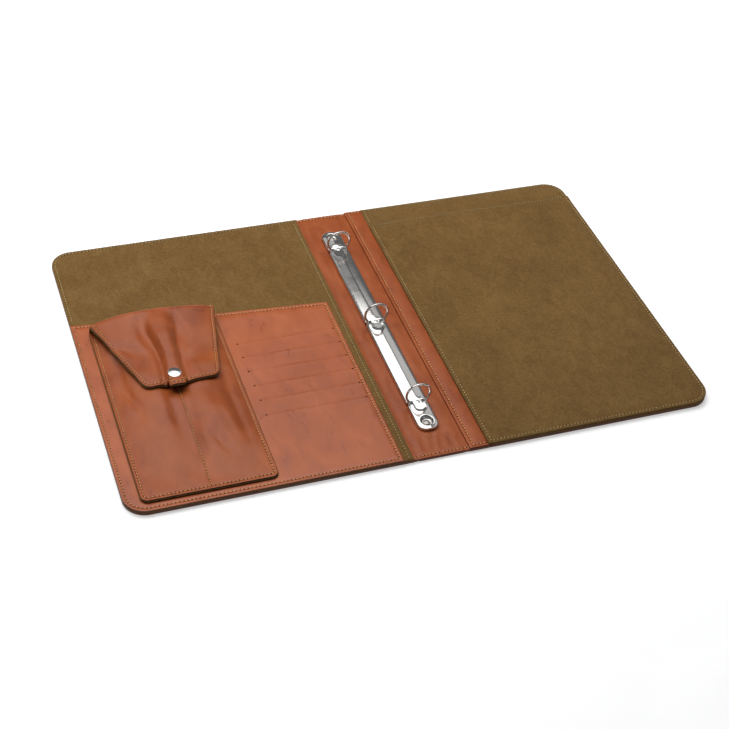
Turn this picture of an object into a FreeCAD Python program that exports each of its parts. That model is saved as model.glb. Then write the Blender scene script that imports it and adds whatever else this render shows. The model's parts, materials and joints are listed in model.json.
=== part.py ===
"""Leather portfolio case, open flat: two padded covers, a spine with a three-ring mechanism and a pen pouch.

Sheet coordinates in millimetres: X runs from the outer edge of the left cover, Y from the near edge and
Z up from the table. Each solid is moved when it is saved, so that the saved origin is the middle of the base.
"""
import FreeCAD, Part
import math
import os

from FreeCAD import Vector

# ---- Driving dimensions ------------------------------------------------------------------------------
CASE_WIDTH = 525.0
CASE_DEPTH = 335.0
CASE_CORNER_RADIUS = 19.0

LEFT_LINING_WIDTH = 241.5       # suede lining of the left cover, up to the spine
SPINE_LEATHER_WIDTH = 50.0      # visible inner leather of the spine
HINGE_STRIP_WIDTH = 17.0        # visible leather strip along the right cover

OUTER_LEATHER = 1.3
COVER_BOARD = 2.2
LEFT_LINING = 0.9
RIGHT_LINING = 1.3
CARD_PANEL = 1.2
SPINE_BOARD = 1.2
SPINE_INNER_LEATHER = 1.0
BOARD_MARGIN = 6.0              # stitched border around each cover board
BOARD_FOLD_MARGIN = 2.5

FOLD_OFFSET = 2.7               # from the edge of a cover's lining to its fold line
FOLD_HALF_GAP = 0.8             # the leather is drawn split this far each side of a fold line
SPINE_BOARD_SETBACK = 3.5

# Ring mechanism
HOUSING_LENGTH = 277.0
HOUSING_WIDTH = 19.5
HOUSING_NEAR_END = 28.5
HOUSING_WALL_TOP = 2.7          # height of the straight side walls above the spine leather
HOUSING_CROWN = 4.8             # height of the arched top above the spine leather
HOUSING_SHEET = 0.7
HOUSING_CORNER_RADIUS = 8.5
DISH_RADIUS = 5.8               # round recess for a mounting rivet at each end
DISH_INSET = 9.2
DISH_FLOOR = 1.2
RING_SPACING = 108.0
RING_MIDDLE_Y = 169.0
RING_CENTRE_HEIGHT = 16.7       # above the table
RING_WIRE_RADIUS = 1.1
RING_PATH_RADIUS = 10.9
RING_FOOT_OFFSET = 8.0          # from the mechanism's middle line to the straight foot of a half ring
RING_FOOT_BEND = 2.5
RING_TIP_GAP = 0.3
SLOT_INNER = 5.0
SLOT_WIDTH = 3.4
SLOT_BOTTOM = 1.0               # above the spine leather
PAD_RADIUS = 7.3                # flat round pad on the housing's top around each ring
PAD_DEPTH = 0.4
PIVOT_OFFSET = 8.4              # from the mechanism's middle line to a blade's pivot
PIVOT_HEIGHT = 5.4              # above the table
BLADE_THICKNESS = 0.8
BLADE_REACH = 8.15
BLADE_TILT = 8.0                # degrees below level while the rings are shut
BLADE_END_CLEARANCE = 1.6

RIVET_SHANK_RADIUS = 1.9
RIVET_HEAD_RADIUS = 3.6
RIVET_HEAD_HEIGHT = 1.5
RIVET_HOLE_RADIUS = 2.0
WASHER_RADIUS = 4.5
WASHER_THICKNESS = 0.4
WASHER_CLEARANCE = 0.3

# Card panel on the left cover
PANEL_RIGHT = 232.5
PANEL_TOP = [(132.0, 215.7), (0.0, 230.0)]      # the slanting far edge, from its middle to the left
PANEL_TOP_RIGHT = 208.0
PANEL_CORNER_RADIUS = 2.0
SLIT_COUNT = 6
SLIT_FIRST_Y = 171.2
SLIT_PITCH = 18.35
SLIT_LEFT = 137.0
SLIT_LENGTH = 89.5
SLIT_WIDTH = 0.5
SLIT_HOLE_RADIUS = 0.9
POCKET_RECESS = 0.5
POCKET_THICKNESS = 0.35
POCKET_SIDE = 3.0
POCKET_GAP = 1.3
LOWEST_POCKET_DEPTH = 56.0

# Pen pouch and its flap
POUCH = (14.0, 8.0, 127.0, 208.0)               # left, near, right, far
POUCH_CORNER_RADIUS = 6.0
POUCH_LEATHER = 1.2
POUCH_BACK = 1.0
CHANNEL_SIDE_MARGIN = 4.0
CHANNEL_NEAR_MARGIN = 4.5
CHANNEL_WEB = 3.0
CHANNEL_HEIGHT = 13.0
CHANNEL_KERB = 0.6              # straight foot of a channel's walls
CHANNEL_NEAR_SLOPE = 43.0
FLAP_AXIS_Y = 217.0
FLAP_AXIS_Z = 14.5
LIP = (-0.9, 0.3)                               # the pouch's upturned lip, across the flap's axis
FLAP_WALL = (-2.0, -0.8)                        # the flap's upright part, across its axis
FLAP_AXIS_GAP = 0.35
FLAP_CLEARANCE = 0.4
FLAP_LINING = 0.9
FLAP_LEATHER = 1.3
FLAP_INSET = 1.0
FLAP_OUTLINE = [(44.0, 122.0), (109.0, 126.0)]  # lower left and lower right corners
FLAP_LOWER_RADIUS = 9.0
FLAP_UPPER_RADIUS = 2.0
TAB_HALF_WIDTH = 7.5
TAB_END_Y = 117.5
TAB_ROOT_Y = 150.0

SNAP_X = 70.5
SNAP_Y = 131.5
SNAP_CAP_RADIUS = 6.0
SNAP_CAP_RIM = 0.9
SNAP_CAP_HEIGHT = 1.9
SOCKET_RADIUS = 5.4
SOCKET_BORE = 2.9
SOCKET_HEIGHT = 2.6
STUD_RADIUS = 2.1
STUD_FLANGE_RADIUS = 4.6
STUD_FLANGE = 0.5
BOSS_RADIUS = 6.5

# Pocket for papers on the right cover
MOUTH_Y = 308.5
DOCUMENT_PANEL = 1.2
PAPER_GAP = 0.6
DOCUMENT_SEAM = 5.0

# ---- Places worked out from the dimensions -----------------------------------------------------------
BOARD_TOP = OUTER_LEATHER + COVER_BOARD
LEFT_TOP = BOARD_TOP + LEFT_LINING
PANEL_Z = LEFT_TOP + CARD_PANEL
RIGHT_TOP = BOARD_TOP + RIGHT_LINING
SPINE_TOP = OUTER_LEATHER + SPINE_BOARD + SPINE_INNER_LEATHER

LEFT_FOLD = LEFT_LINING_WIDTH + FOLD_OFFSET
RIGHT_SEAM = LEFT_LINING_WIDTH + SPINE_LEATHER_WIDTH
RIGHT_FOLD = RIGHT_SEAM - FOLD_OFFSET
RIGHT_SUEDE = RIGHT_SEAM + HINGE_STRIP_WIDTH
MECHANISM_X = (LEFT_FOLD + RIGHT_FOLD) / 2

HOUSING_FAR_END = HOUSING_NEAR_END + HOUSING_LENGTH
RINGS = {
    "near": RING_MIDDLE_Y - RING_SPACING,
    "middle": RING_MIDDLE_Y,
    "far": RING_MIDDLE_Y + RING_SPACING,
}
RIVETS = {
    "near": HOUSING_NEAR_END + DISH_INSET,
    "far": HOUSING_FAR_END - DISH_INSET,
}
POUCH_BACK_TOP = PANEL_Z + POUCH_BACK
CHANNEL_TOP = POUCH_BACK_TOP + CHANNEL_HEIGHT
FLAP_UNDERSIDE = CHANNEL_TOP + FLAP_CLEARANCE
FLAP_TOP = FLAP_UNDERSIDE + FLAP_LINING + FLAP_LEATHER
SLIT_RIGHT = SLIT_LEFT + SLIT_LENGTH
SLITS = [SLIT_FIRST_Y - number * SLIT_PITCH for number in range(SLIT_COUNT)]
OVERSIZE = 5.0                  # how far a cutting tool passes beyond what it cuts


# ---- Shapes that several pieces share ----------------------------------------------------------------
def rounded_wire(corners, height):
    """Closed outline at a height, from corners (x, y, radius) in order."""
    points = [Vector(x, y, height) for x, y, _ in corners]
    edges = []
    starts = []
    ends = []
    middles = []
    for index, (corner, (_, _, radius)) in enumerate(zip(points, corners)):
        to_last = (points[index - 1] - corner).normalize()
        to_next = (points[(index + 1) % len(points)] - corner).normalize()
        half_angle = to_last.getAngle(to_next) / 2
        reach = radius / math.tan(half_angle)
        bisector = (to_last + to_next).normalize()
        starts.append(corner + to_last * reach)
        ends.append(corner + to_next * reach)
        middles.append(corner + bisector * (radius / math.sin(half_angle) - radius))
    for index, (_, _, radius) in enumerate(corners):
        if radius > 0:
            edges.append(Part.Arc(starts[index], middles[index], ends[index]).toShape())
        edges.append(Part.LineSegment(ends[index], starts[(index + 1) % len(corners)]).toShape())
    return Part.Wire(edges)


def plate(corners, bottom, top):
    """Flat sheet with the outline of the given rounded corners."""
    return Part.Face(rounded_wire(corners, bottom)).extrude(Vector(0, 0, top - bottom))


def block(low, high):
    """Box between two opposite corners."""
    size = [b - a for a, b in zip(low, high)]
    return Part.makeBox(*size, Vector(*low))


def disc(radius, x, y, bottom, top):
    """Upright round bar."""
    return Part.makeCylinder(radius, top - bottom, Vector(x, y, bottom))


def dome(radius, height, x, y, bottom):
    """Shallow round cap standing on its flat face."""
    sphere_radius = (radius ** 2 + height ** 2) / (2 * height)
    sphere = Part.makeSphere(sphere_radius, Vector(x, y, bottom + height - sphere_radius))
    return sphere.common(disc(radius, x, y, bottom, bottom + height))


def arched_outline(start, middle, end, base):
    """Closed outline of an arc from start over middle to end, brought straight down to a base height."""
    foot_start = Vector(start.x, start.y, base)
    foot_end = Vector(end.x, end.y, base)
    return Part.Wire([
        Part.LineSegment(foot_start, start).toShape(),
        Part.Arc(start, middle, end).toShape(),
        Part.LineSegment(end, foot_end).toShape(),
        Part.LineSegment(foot_end, foot_start).toShape(),
    ])


def left_outline(right, inset=0.0):
    """Corners of a sheet on the left cover, from the outer edges to the given X."""
    radius = CASE_CORNER_RADIUS - inset
    return [
        (inset, inset, radius),
        (right, inset, 0.0),
        (right, CASE_DEPTH - inset, 0.0),
        (inset, CASE_DEPTH - inset, radius),
    ]


def right_outline(left, far=CASE_DEPTH, inset=0.0, far_radius=CASE_CORNER_RADIUS):
    """Corners of a sheet on the right cover, from the given X to the outer edges."""
    return [
        (left, inset, 0.0),
        (CASE_WIDTH - inset, inset, CASE_CORNER_RADIUS - inset),
        (CASE_WIDTH - inset, far - inset, max(far_radius - inset, 0.0)),
        (left, far - inset, 0.0),
    ]


# ---- Covers and spine --------------------------------------------------------------------------------
def left_cover():
    board_right = LEFT_LINING_WIDTH - BOARD_FOLD_MARGIN
    board = plate(left_outline(board_right, BOARD_MARGIN), OUTER_LEATHER, BOARD_TOP)
    lining = plate(left_outline(LEFT_LINING_WIDTH), OUTER_LEATHER, LEFT_TOP).cut(board)
    return {
        "left_outer_leather": plate(left_outline(LEFT_FOLD - FOLD_HALF_GAP), 0.0, OUTER_LEATHER),
        "left_board": board,
        "left_lining": lining,
    }


def right_cover():
    board_left = RIGHT_SEAM + BOARD_FOLD_MARGIN
    strip_right = RIGHT_SUEDE + DOCUMENT_SEAM
    board = plate(right_outline(board_left, inset=BOARD_MARGIN), OUTER_LEATHER, BOARD_TOP)
    strip = block((RIGHT_SEAM, 0.0, OUTER_LEATHER), (strip_right, CASE_DEPTH, RIGHT_TOP)).cut(board)
    lining = plate(right_outline(strip_right), OUTER_LEATHER, RIGHT_TOP).cut(board)
    return {
        "right_outer_leather": plate(right_outline(RIGHT_FOLD + FOLD_HALF_GAP), 0.0, OUTER_LEATHER),
        "right_board": board,
        "hinge_strip": strip,
        "right_lining": lining,
        "document_pocket": document_pocket(),
    }


def document_pocket():
    """Suede panel sewn down on three sides, open along its far edge for loose papers."""
    panel_bottom = RIGHT_TOP + PAPER_GAP
    panel = plate(
        right_outline(RIGHT_SUEDE, far=MOUTH_Y, far_radius=0.0),
        RIGHT_TOP,
        panel_bottom + DOCUMENT_PANEL,
    )
    paper_space = plate(
        [
            (RIGHT_SUEDE + DOCUMENT_SEAM, DOCUMENT_SEAM, 0.0),
            (CASE_WIDTH - DOCUMENT_SEAM, DOCUMENT_SEAM, CASE_CORNER_RADIUS - DOCUMENT_SEAM),
            (CASE_WIDTH - DOCUMENT_SEAM, MOUTH_Y + OVERSIZE, 0.0),
            (RIGHT_SUEDE + DOCUMENT_SEAM, MOUTH_Y + OVERSIZE, 0.0),
        ],
        RIGHT_TOP - OVERSIZE,
        panel_bottom,
    )
    return panel.cut(paper_space)


def spine():
    left = LEFT_FOLD + FOLD_HALF_GAP
    right = RIGHT_FOLD - FOLD_HALF_GAP
    board_left = LEFT_FOLD + SPINE_BOARD_SETBACK
    board_right = RIGHT_FOLD - SPINE_BOARD_SETBACK
    board_top = OUTER_LEATHER + SPINE_BOARD
    board = block(
        (board_left, BOARD_MARGIN, OUTER_LEATHER),
        (board_right, CASE_DEPTH - BOARD_MARGIN, board_top),
    )
    inner = block((left, 0.0, OUTER_LEATHER), (right, CASE_DEPTH, SPINE_TOP)).cut(board)
    pieces = {"spine_outer_leather": block((left, 0.0, 0.0), (right, CASE_DEPTH, OUTER_LEATHER))}
    for end, y in RIVETS.items():
        hole = disc(RIVET_HOLE_RADIUS, MECHANISM_X, y, OUTER_LEATHER, SPINE_TOP)
        seat_top = OUTER_LEATHER + WASHER_THICKNESS
        board = board.cut(hole).cut(disc(WASHER_RADIUS, MECHANISM_X, y, OUTER_LEATHER, seat_top))
        inner = inner.cut(hole)
        washer = disc(WASHER_RADIUS - WASHER_CLEARANCE, MECHANISM_X, y, OUTER_LEATHER, seat_top)
        pieces["rivet_washer_" + end] = washer.cut(hole)
        pieces["rivet_" + end] = mounting_rivet(y)
    pieces["spine_board"] = board
    pieces["spine_inner_leather"] = inner
    return pieces


def mounting_rivet(y):
    """Domed rivet that holds one end of the housing to the spine board."""
    floor = SPINE_TOP + DISH_FLOOR
    shank = disc(RIVET_SHANK_RADIUS, MECHANISM_X, y, OUTER_LEATHER, floor)
    return shank.fuse(dome(RIVET_HEAD_RADIUS, RIVET_HEAD_HEIGHT, MECHANISM_X, y, floor))


# ---- Ring mechanism ----------------------------------------------------------------------------------
def arched_bar(inset):
    """The housing's outer shape, or the hollow inside it when inset by the sheet's thickness."""
    half = HOUSING_WIDTH / 2 - inset
    wall_top = SPINE_TOP + HOUSING_WALL_TOP - inset / 2
    base = SPINE_TOP
    profile = arched_outline(
        Vector(MECHANISM_X - half, 0, wall_top),
        Vector(MECHANISM_X, 0, SPINE_TOP + HOUSING_CROWN - inset),
        Vector(MECHANISM_X + half, 0, wall_top),
        base,
    )
    bar = Part.Face(profile).extrude(Vector(0, CASE_DEPTH, 0))
    radius = HOUSING_CORNER_RADIUS - inset
    near = HOUSING_NEAR_END + inset
    far = HOUSING_FAR_END - inset
    plan = plate(
        [
            (MECHANISM_X - half, near, radius),
            (MECHANISM_X + half, near, radius),
            (MECHANISM_X + half, far, radius),
            (MECHANISM_X - half, far, radius),
        ],
        base,
        SPINE_TOP + HOUSING_CROWN + OVERSIZE,
    )
    return bar.common(plan)


def ring_housing():
    """Arched sheet-metal cover with a dished rivet seat at each end and two wire slots at each ring."""
    outer = arched_bar(0.0)
    housing = outer.cut(arched_bar(HOUSING_SHEET))
    crown = SPINE_TOP + HOUSING_CROWN
    for y in RIVETS.values():
        cup = disc(DISH_RADIUS + HOUSING_SHEET, MECHANISM_X, y, SPINE_TOP, crown)
        housing = housing.fuse(cup.common(outer))
        housing = housing.cut(disc(DISH_RADIUS, MECHANISM_X, y, SPINE_TOP + DISH_FLOOR, crown + OVERSIZE))
        housing = housing.cut(disc(RIVET_HOLE_RADIUS, MECHANISM_X, y, SPINE_TOP, crown))
    for y in RINGS.values():
        housing = housing.cut(disc(PAD_RADIUS, MECHANISM_X, y, crown - PAD_DEPTH, crown + OVERSIZE))
        for side in (-1, 1):
            slot_ends = sorted([
                MECHANISM_X + side * SLOT_INNER,
                MECHANISM_X + side * (HOUSING_WIDTH / 2 + OVERSIZE),
            ])
            housing = housing.cut(block(
                (slot_ends[0], y - SLOT_WIDTH / 2, SPINE_TOP + SLOT_BOTTOM),
                (slot_ends[1], y + SLOT_WIDTH / 2, crown + OVERSIZE),
            ))
    return housing


def mirrored(shape, side):
    """The left-hand shape itself for side -1, or its mirror image about the mechanism's middle for +1."""
    if side < 0:
        return shape
    return shape.mirror(Vector(MECHANISM_X, 0, 0), Vector(1, 0, 0))


def blade():
    """Left toggle plate: rounded along its pivot, tilted down towards the middle while the rings are shut."""
    pivot_x = MECHANISM_X - PIVOT_OFFSET
    near = RIVETS["near"] + DISH_RADIUS + HOUSING_SHEET + BLADE_END_CLEARANCE
    far = RIVETS["far"] - DISH_RADIUS - HOUSING_SHEET - BLADE_END_CLEARANCE
    half = BLADE_THICKNESS / 2
    sheet = block((pivot_x, near, PIVOT_HEIGHT - half), (pivot_x + BLADE_REACH, far, PIVOT_HEIGHT + half))
    rolled_edge = Part.makeCylinder(half, far - near, Vector(pivot_x, near, PIVOT_HEIGHT), Vector(0, 1, 0))
    tilted = sheet.fuse(rolled_edge)
    tilted.rotate(Vector(pivot_x, 0, PIVOT_HEIGHT), Vector(0, 1, 0), BLADE_TILT)
    return tilted.removeSplitter()


def half_ring(y):
    """Left half of one ring: round from its tip, then bent straight down into the housing."""
    centre = Vector(MECHANISM_X, y, RING_CENTRE_HEIGHT)
    bend_x = MECHANISM_X - RING_FOOT_OFFSET - RING_FOOT_BEND
    bend_drop = math.sqrt((RING_PATH_RADIUS + RING_FOOT_BEND) ** 2 - (bend_x - MECHANISM_X) ** 2)
    bend_centre = Vector(bend_x, y, RING_CENTRE_HEIGHT - bend_drop)
    tip_x = MECHANISM_X - RING_TIP_GAP / 2
    tip = Vector(tip_x, y, RING_CENTRE_HEIGHT + math.sqrt(RING_PATH_RADIUS ** 2 - (RING_TIP_GAP / 2) ** 2))
    side = centre + Vector(-RING_PATH_RADIUS, 0, 0)
    joint = centre + (bend_centre - centre).normalize() * RING_PATH_RADIUS
    foot_top = bend_centre + Vector(RING_FOOT_BEND, 0, 0)
    to_joint = (joint - bend_centre).normalize()
    bend_middle = bend_centre + (to_joint + Vector(1, 0, 0)).normalize() * RING_FOOT_BEND
    foot = Vector(foot_top.x, y, PIVOT_HEIGHT)
    path = Part.Wire([
        Part.Arc(tip, side, joint).toShape(),
        Part.Arc(joint, bend_middle, foot_top).toShape(),
        Part.LineSegment(foot_top, foot).toShape(),
    ])
    start_direction = Vector(centre.z - tip.z, 0, tip.x - centre.x)
    section = Part.Wire([Part.makeCircle(RING_WIRE_RADIUS, tip, start_direction)])
    return path.makePipeShell([section], True, True)


def ring_mechanism():
    pieces = {"ring_housing": ring_housing()}
    left_blade = blade()
    for name, side in (("left", -1), ("right", 1)):
        pieces[name + "_blade"] = mirrored(left_blade, side)
        for place, y in RINGS.items():
            pieces[name + "_half_ring_" + place] = mirrored(half_ring(y).cut(left_blade), side)
    return pieces


# ---- Card panel --------------------------------------------------------------------------------------
def card_panel():
    """Leather panel with a slanting far edge and six horizontal card slits, each ending in punched holes."""
    corners = [
        (0.0, 0.0, CASE_CORNER_RADIUS),
        (PANEL_RIGHT, 0.0, 0.0),
        (PANEL_RIGHT, PANEL_TOP_RIGHT, PANEL_CORNER_RADIUS),
    ]
    corners += [(x, y, 0.0) for x, y in PANEL_TOP]
    panel = plate(corners, LEFT_TOP, PANEL_Z)
    lowest = SLITS[-1] - LOWEST_POCKET_DEPTH - POCKET_SIDE
    panel = panel.cut(block(
        (SLIT_LEFT - POCKET_SIDE, lowest, LEFT_TOP),
        (SLIT_RIGHT + POCKET_SIDE, SLITS[0] + POCKET_SIDE, LEFT_TOP + POCKET_RECESS),
    ))
    for y in SLITS:
        panel = panel.cut(block(
            (SLIT_LEFT, y - SLIT_WIDTH / 2, LEFT_TOP),
            (SLIT_RIGHT, y + SLIT_WIDTH / 2, PANEL_Z + OVERSIZE),
        ))
        for x in (SLIT_LEFT, SLIT_RIGHT):
            panel = panel.cut(disc(SLIT_HOLE_RADIUS, x, y, LEFT_TOP, PANEL_Z + OVERSIZE))
    return panel


def card_pockets():
    """One flat fabric pocket behind each slit, in the recess under the panel."""
    pieces = {}
    for number, y in enumerate(SLITS, start=1):
        depth = LOWEST_POCKET_DEPTH if number == SLIT_COUNT else SLIT_PITCH - POCKET_GAP
        pieces["card_pocket_%d" % number] = block(
            (SLIT_LEFT - POCKET_SIDE + POCKET_GAP, y - depth, LEFT_TOP),
            (SLIT_RIGHT + POCKET_SIDE - POCKET_GAP, y, LEFT_TOP + POCKET_THICKNESS),
        )
    return pieces


# ---- Pen pouch ---------------------------------------------------------------------------------------
def pen_channel(left, right, inset):
    """Puffed tube for pens, arched across, running down to the back sheet at its near end."""
    base = POUCH_BACK_TOP
    kerb = base + CHANNEL_KERB
    top = base + CHANNEL_HEIGHT - inset
    near = POUCH[1] + CHANNEL_NEAR_MARGIN + inset
    far = POUCH[3] + (OVERSIZE if inset > 0 else 0.0)
    across = arched_outline(
        Vector(left + inset, near, kerb),
        Vector((left + right) / 2, near, top),
        Vector(right - inset, near, kerb),
        base,
    )
    tube = Part.Face(across).extrude(Vector(0, far - near, 0))
    rise = top - kerb
    slope_radius = (CHANNEL_NEAR_SLOPE ** 2 + rise ** 2) / (2 * rise)
    half_turn = math.asin(CHANNEL_NEAR_SLOPE / slope_radius) / 2
    slope_top = Vector(left, near + CHANNEL_NEAR_SLOPE, top)
    slope_middle = slope_top - Vector(
        0,
        slope_radius * math.sin(half_turn),
        slope_radius * (1 - math.cos(half_turn)),
    )
    slope = Part.Face(arched_outline(Vector(left, near, kerb), slope_middle, slope_top, base))
    level = block((left, slope_top.y, base), (right, far, top))
    side_view = slope.extrude(Vector(right - left, 0, 0)).fuse(level)
    return tube.common(side_view).removeSplitter()


def pouch_sheet(bottom, top, far=POUCH[3]):
    left, near, right, _ = POUCH
    return plate(
        [
            (left, near, POUCH_CORNER_RADIUS),
            (right, near, POUCH_CORNER_RADIUS),
            (right, far, 0.0),
            (left, far, 0.0),
        ],
        bottom,
        top,
    )


def pen_pouch():
    left, _, right, _ = POUCH
    middle = (left + right) / 2
    channels = [
        (left + CHANNEL_SIDE_MARGIN, middle - CHANNEL_WEB / 2),
        (middle + CHANNEL_WEB / 2, right - CHANNEL_SIDE_MARGIN),
    ]
    front = pouch_sheet(POUCH_BACK_TOP, POUCH_BACK_TOP + POUCH_LEATHER)
    for start, end in channels:
        front = front.fuse(pen_channel(start, end, 0.0))
    stud_base = FLAP_UNDERSIDE - SOCKET_HEIGHT - STUD_FLANGE - FLAP_CLEARANCE
    front = front.fuse(disc(BOSS_RADIUS, SNAP_X, SNAP_Y, POUCH_BACK_TOP, stud_base))
    for start, end in channels:
        front = front.cut(pen_channel(start, end, POUCH_LEATHER))
    return {
        "pen_pouch_back": pouch_back(),
        "pen_pouch_front": front,
        "snap_stud": snap_stud(stud_base),
    }


def pouch_back():
    """Back sheet of the pouch, with the upturned lip that the flap folds over."""
    left, _, right, _ = POUCH
    lip_near = FLAP_AXIS_Y + LIP[0]
    lip_far = FLAP_AXIS_Y + LIP[1]
    sheet = pouch_sheet(PANEL_Z, POUCH_BACK_TOP, far=lip_far)
    lip = block(
        (left + FLAP_INSET, lip_near, PANEL_Z),
        (right - FLAP_INSET, lip_far, FLAP_AXIS_Z - FLAP_AXIS_GAP),
    )
    return sheet.fuse(lip).removeSplitter()


def snap_stud(base):
    flange = disc(STUD_FLANGE_RADIUS, SNAP_X, SNAP_Y, base, base + STUD_FLANGE)
    top = FLAP_UNDERSIDE - FLAP_CLEARANCE
    post = disc(STUD_RADIUS - FLAP_CLEARANCE, SNAP_X, SNAP_Y, base, top)
    head = Part.makeSphere(STUD_RADIUS, Vector(SNAP_X, SNAP_Y, top - STUD_RADIUS / 2))
    head = head.common(disc(STUD_RADIUS, SNAP_X, SNAP_Y, base + STUD_FLANGE, top))
    return flange.fuse(post).fuse(head)


# ---- Flap --------------------------------------------------------------------------------------------
def flap_plan(bottom, top, inset):
    """Outline of the flap seen from above: it narrows towards its free edge, with a tab in the middle."""
    left, _, right, _ = POUCH
    far = FLAP_AXIS_Y + FLAP_WALL[1] - inset
    (low_left, low_left_y), (low_right, low_right_y) = FLAP_OUTLINE
    body = plate(
        [
            (low_left + inset, low_left_y + inset, FLAP_LOWER_RADIUS),
            (low_right - inset, low_right_y + inset, FLAP_LOWER_RADIUS),
            (right - FLAP_INSET - inset, far, FLAP_UPPER_RADIUS),
            (left + FLAP_INSET + inset, far, FLAP_UPPER_RADIUS),
        ],
        bottom,
        top,
    )
    half = TAB_HALF_WIDTH - inset
    tab = block((SNAP_X - half, TAB_END_Y + inset, bottom), (SNAP_X + half, TAB_ROOT_Y, top))
    return body.fuse(tab).removeSplitter()


def pen_flap():
    left, _, right, _ = POUCH
    lining_top = FLAP_UNDERSIDE + FLAP_LINING
    wall = block(
        (left + FLAP_INSET, FLAP_AXIS_Y + FLAP_WALL[0], FLAP_AXIS_Z + FLAP_AXIS_GAP),
        (right - FLAP_INSET, FLAP_AXIS_Y + FLAP_WALL[1], FLAP_TOP - FLAP_LEATHER / 2),
    )
    leather = flap_plan(lining_top, FLAP_TOP, 0.0).fuse(wall)
    lining = flap_plan(FLAP_UNDERSIDE, lining_top, FLAP_LINING).cut(wall)
    cap_base = FLAP_TOP + SNAP_CAP_RIM
    cap = disc(SNAP_CAP_RADIUS, SNAP_X, SNAP_Y, FLAP_TOP, cap_base)
    cap = cap.fuse(dome(SNAP_CAP_RADIUS, SNAP_CAP_HEIGHT - SNAP_CAP_RIM, SNAP_X, SNAP_Y, cap_base))
    socket = disc(SOCKET_RADIUS, SNAP_X, SNAP_Y, FLAP_UNDERSIDE - SOCKET_HEIGHT, FLAP_UNDERSIDE)
    socket = socket.cut(disc(SOCKET_BORE, SNAP_X, SNAP_Y, FLAP_UNDERSIDE - SOCKET_HEIGHT, FLAP_UNDERSIDE))
    return {
        "flap_leather": leather,
        "flap_lining": lining,
        "snap_cap": cap,
        "snap_socket": socket,
    }


# ---- Save each piece ---------------------------------------------------------------------------------
def save(pieces):
    os.makedirs("parts", exist_ok=True)
    to_origin = Vector(-CASE_WIDTH / 2, -CASE_DEPTH / 2, 0)
    for name, shape in pieces.items():
        placed = shape.copy()
        placed.translate(to_origin)
        placed.exportStep(os.path.join("parts", name + ".step"))
        box = placed.BoundBox
        print("%-22s %d solid(s), valid %s, %7.2f mm3 x %.1f..%.1f y %.1f..%.1f z %.2f..%.2f" % (
            name, len(placed.Solids), placed.isValid(), placed.Volume,
            box.XMin, box.XMax, box.YMin, box.YMax, box.ZMin, box.ZMax,
        ))


def main():
    pieces = {"card_panel": card_panel()}
    for make in (left_cover, right_cover, spine, ring_mechanism, card_pockets, pen_pouch, pen_flap):
        pieces.update(make())
    save(pieces)


main()
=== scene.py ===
"""Looks of the leather portfolio case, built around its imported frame.

Lengths are millimetres along the frame's axes, and a mesh is scaled to metres when it is made.
Each sheet is laid out flat, raised onto a surface given by a formula, and closed into a solid skin.
"""
import json
import math

import bmesh
import bpy
import numpy as np
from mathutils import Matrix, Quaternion, Vector
from mathutils.geometry import delaunay_2d_cdt


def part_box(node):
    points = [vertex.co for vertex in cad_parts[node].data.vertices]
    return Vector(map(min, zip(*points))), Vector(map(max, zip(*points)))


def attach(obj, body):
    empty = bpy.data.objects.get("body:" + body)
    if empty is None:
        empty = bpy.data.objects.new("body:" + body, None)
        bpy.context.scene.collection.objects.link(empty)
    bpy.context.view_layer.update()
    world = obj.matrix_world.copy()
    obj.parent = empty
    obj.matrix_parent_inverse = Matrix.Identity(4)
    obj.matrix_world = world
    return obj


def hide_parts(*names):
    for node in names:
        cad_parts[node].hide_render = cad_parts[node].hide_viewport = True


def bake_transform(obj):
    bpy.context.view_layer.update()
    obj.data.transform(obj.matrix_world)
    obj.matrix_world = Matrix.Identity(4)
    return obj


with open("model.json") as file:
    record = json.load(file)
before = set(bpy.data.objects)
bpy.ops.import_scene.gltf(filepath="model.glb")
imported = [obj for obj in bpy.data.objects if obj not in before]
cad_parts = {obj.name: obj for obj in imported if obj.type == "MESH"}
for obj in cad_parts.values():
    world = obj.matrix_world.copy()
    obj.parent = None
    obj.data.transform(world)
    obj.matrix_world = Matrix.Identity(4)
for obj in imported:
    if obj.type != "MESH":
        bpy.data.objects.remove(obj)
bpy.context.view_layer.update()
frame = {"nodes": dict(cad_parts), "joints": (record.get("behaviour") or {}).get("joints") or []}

MM = 0.001


def box(node):
    """Lowest and highest corner of a CAD node in millimetres."""
    low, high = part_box(node)
    return np.array(low) / MM, np.array(high) / MM


def centre_of(node):
    low, high = box(node)
    return (low + high) / 2


# ---- Places taken from the frame ----
(CASE_LEFT, CASE_NEAR, _), _ = box("left_outer_leather")
_, (CASE_RIGHT, CASE_FAR, OUTER_TOP) = box("right_outer_leather")
_, (LEFT_SEAM, _, LEFT_TOP) = box("left_lining")
_, (_, _, BOARD_TOP) = box("left_board")
(RIGHT_SEAM, _, _), (_, _, STRIP_TOP) = box("hinge_strip")
_, (_, _, RIGHT_TOP) = box("right_lining")
(SUEDE_LEFT, _, _), (_, MOUTH_Y, POCKET_TOP) = box("document_pocket")
_, (PANEL_RIGHT, PANEL_FAR, PANEL_TOP) = box("card_panel")
_, (_, _, SPINE_TOP) = box("spine_inner_leather")
(HOUSING_LEFT, HOUSING_NEAR, _), (HOUSING_RIGHT, HOUSING_FAR, HOUSING_TOP) = box("ring_housing")
(POUCH_LEFT, POUCH_NEAR, _), (POUCH_RIGHT, POUCH_FAR, _) = box("pen_pouch_front")
_, (_, POUCH_BACK_FAR, _) = box("pen_pouch_back")
(FLAP_LEFT, FLAP_NEAR, _), (FLAP_RIGHT, _, _) = box("flap_leather")
(_, _, FLAP_LEVEL), _ = box("snap_cap")
SPINE_MIDDLE = (HOUSING_LEFT + HOUSING_RIGHT) / 2
SNAP = centre_of("snap_cap")
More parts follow.
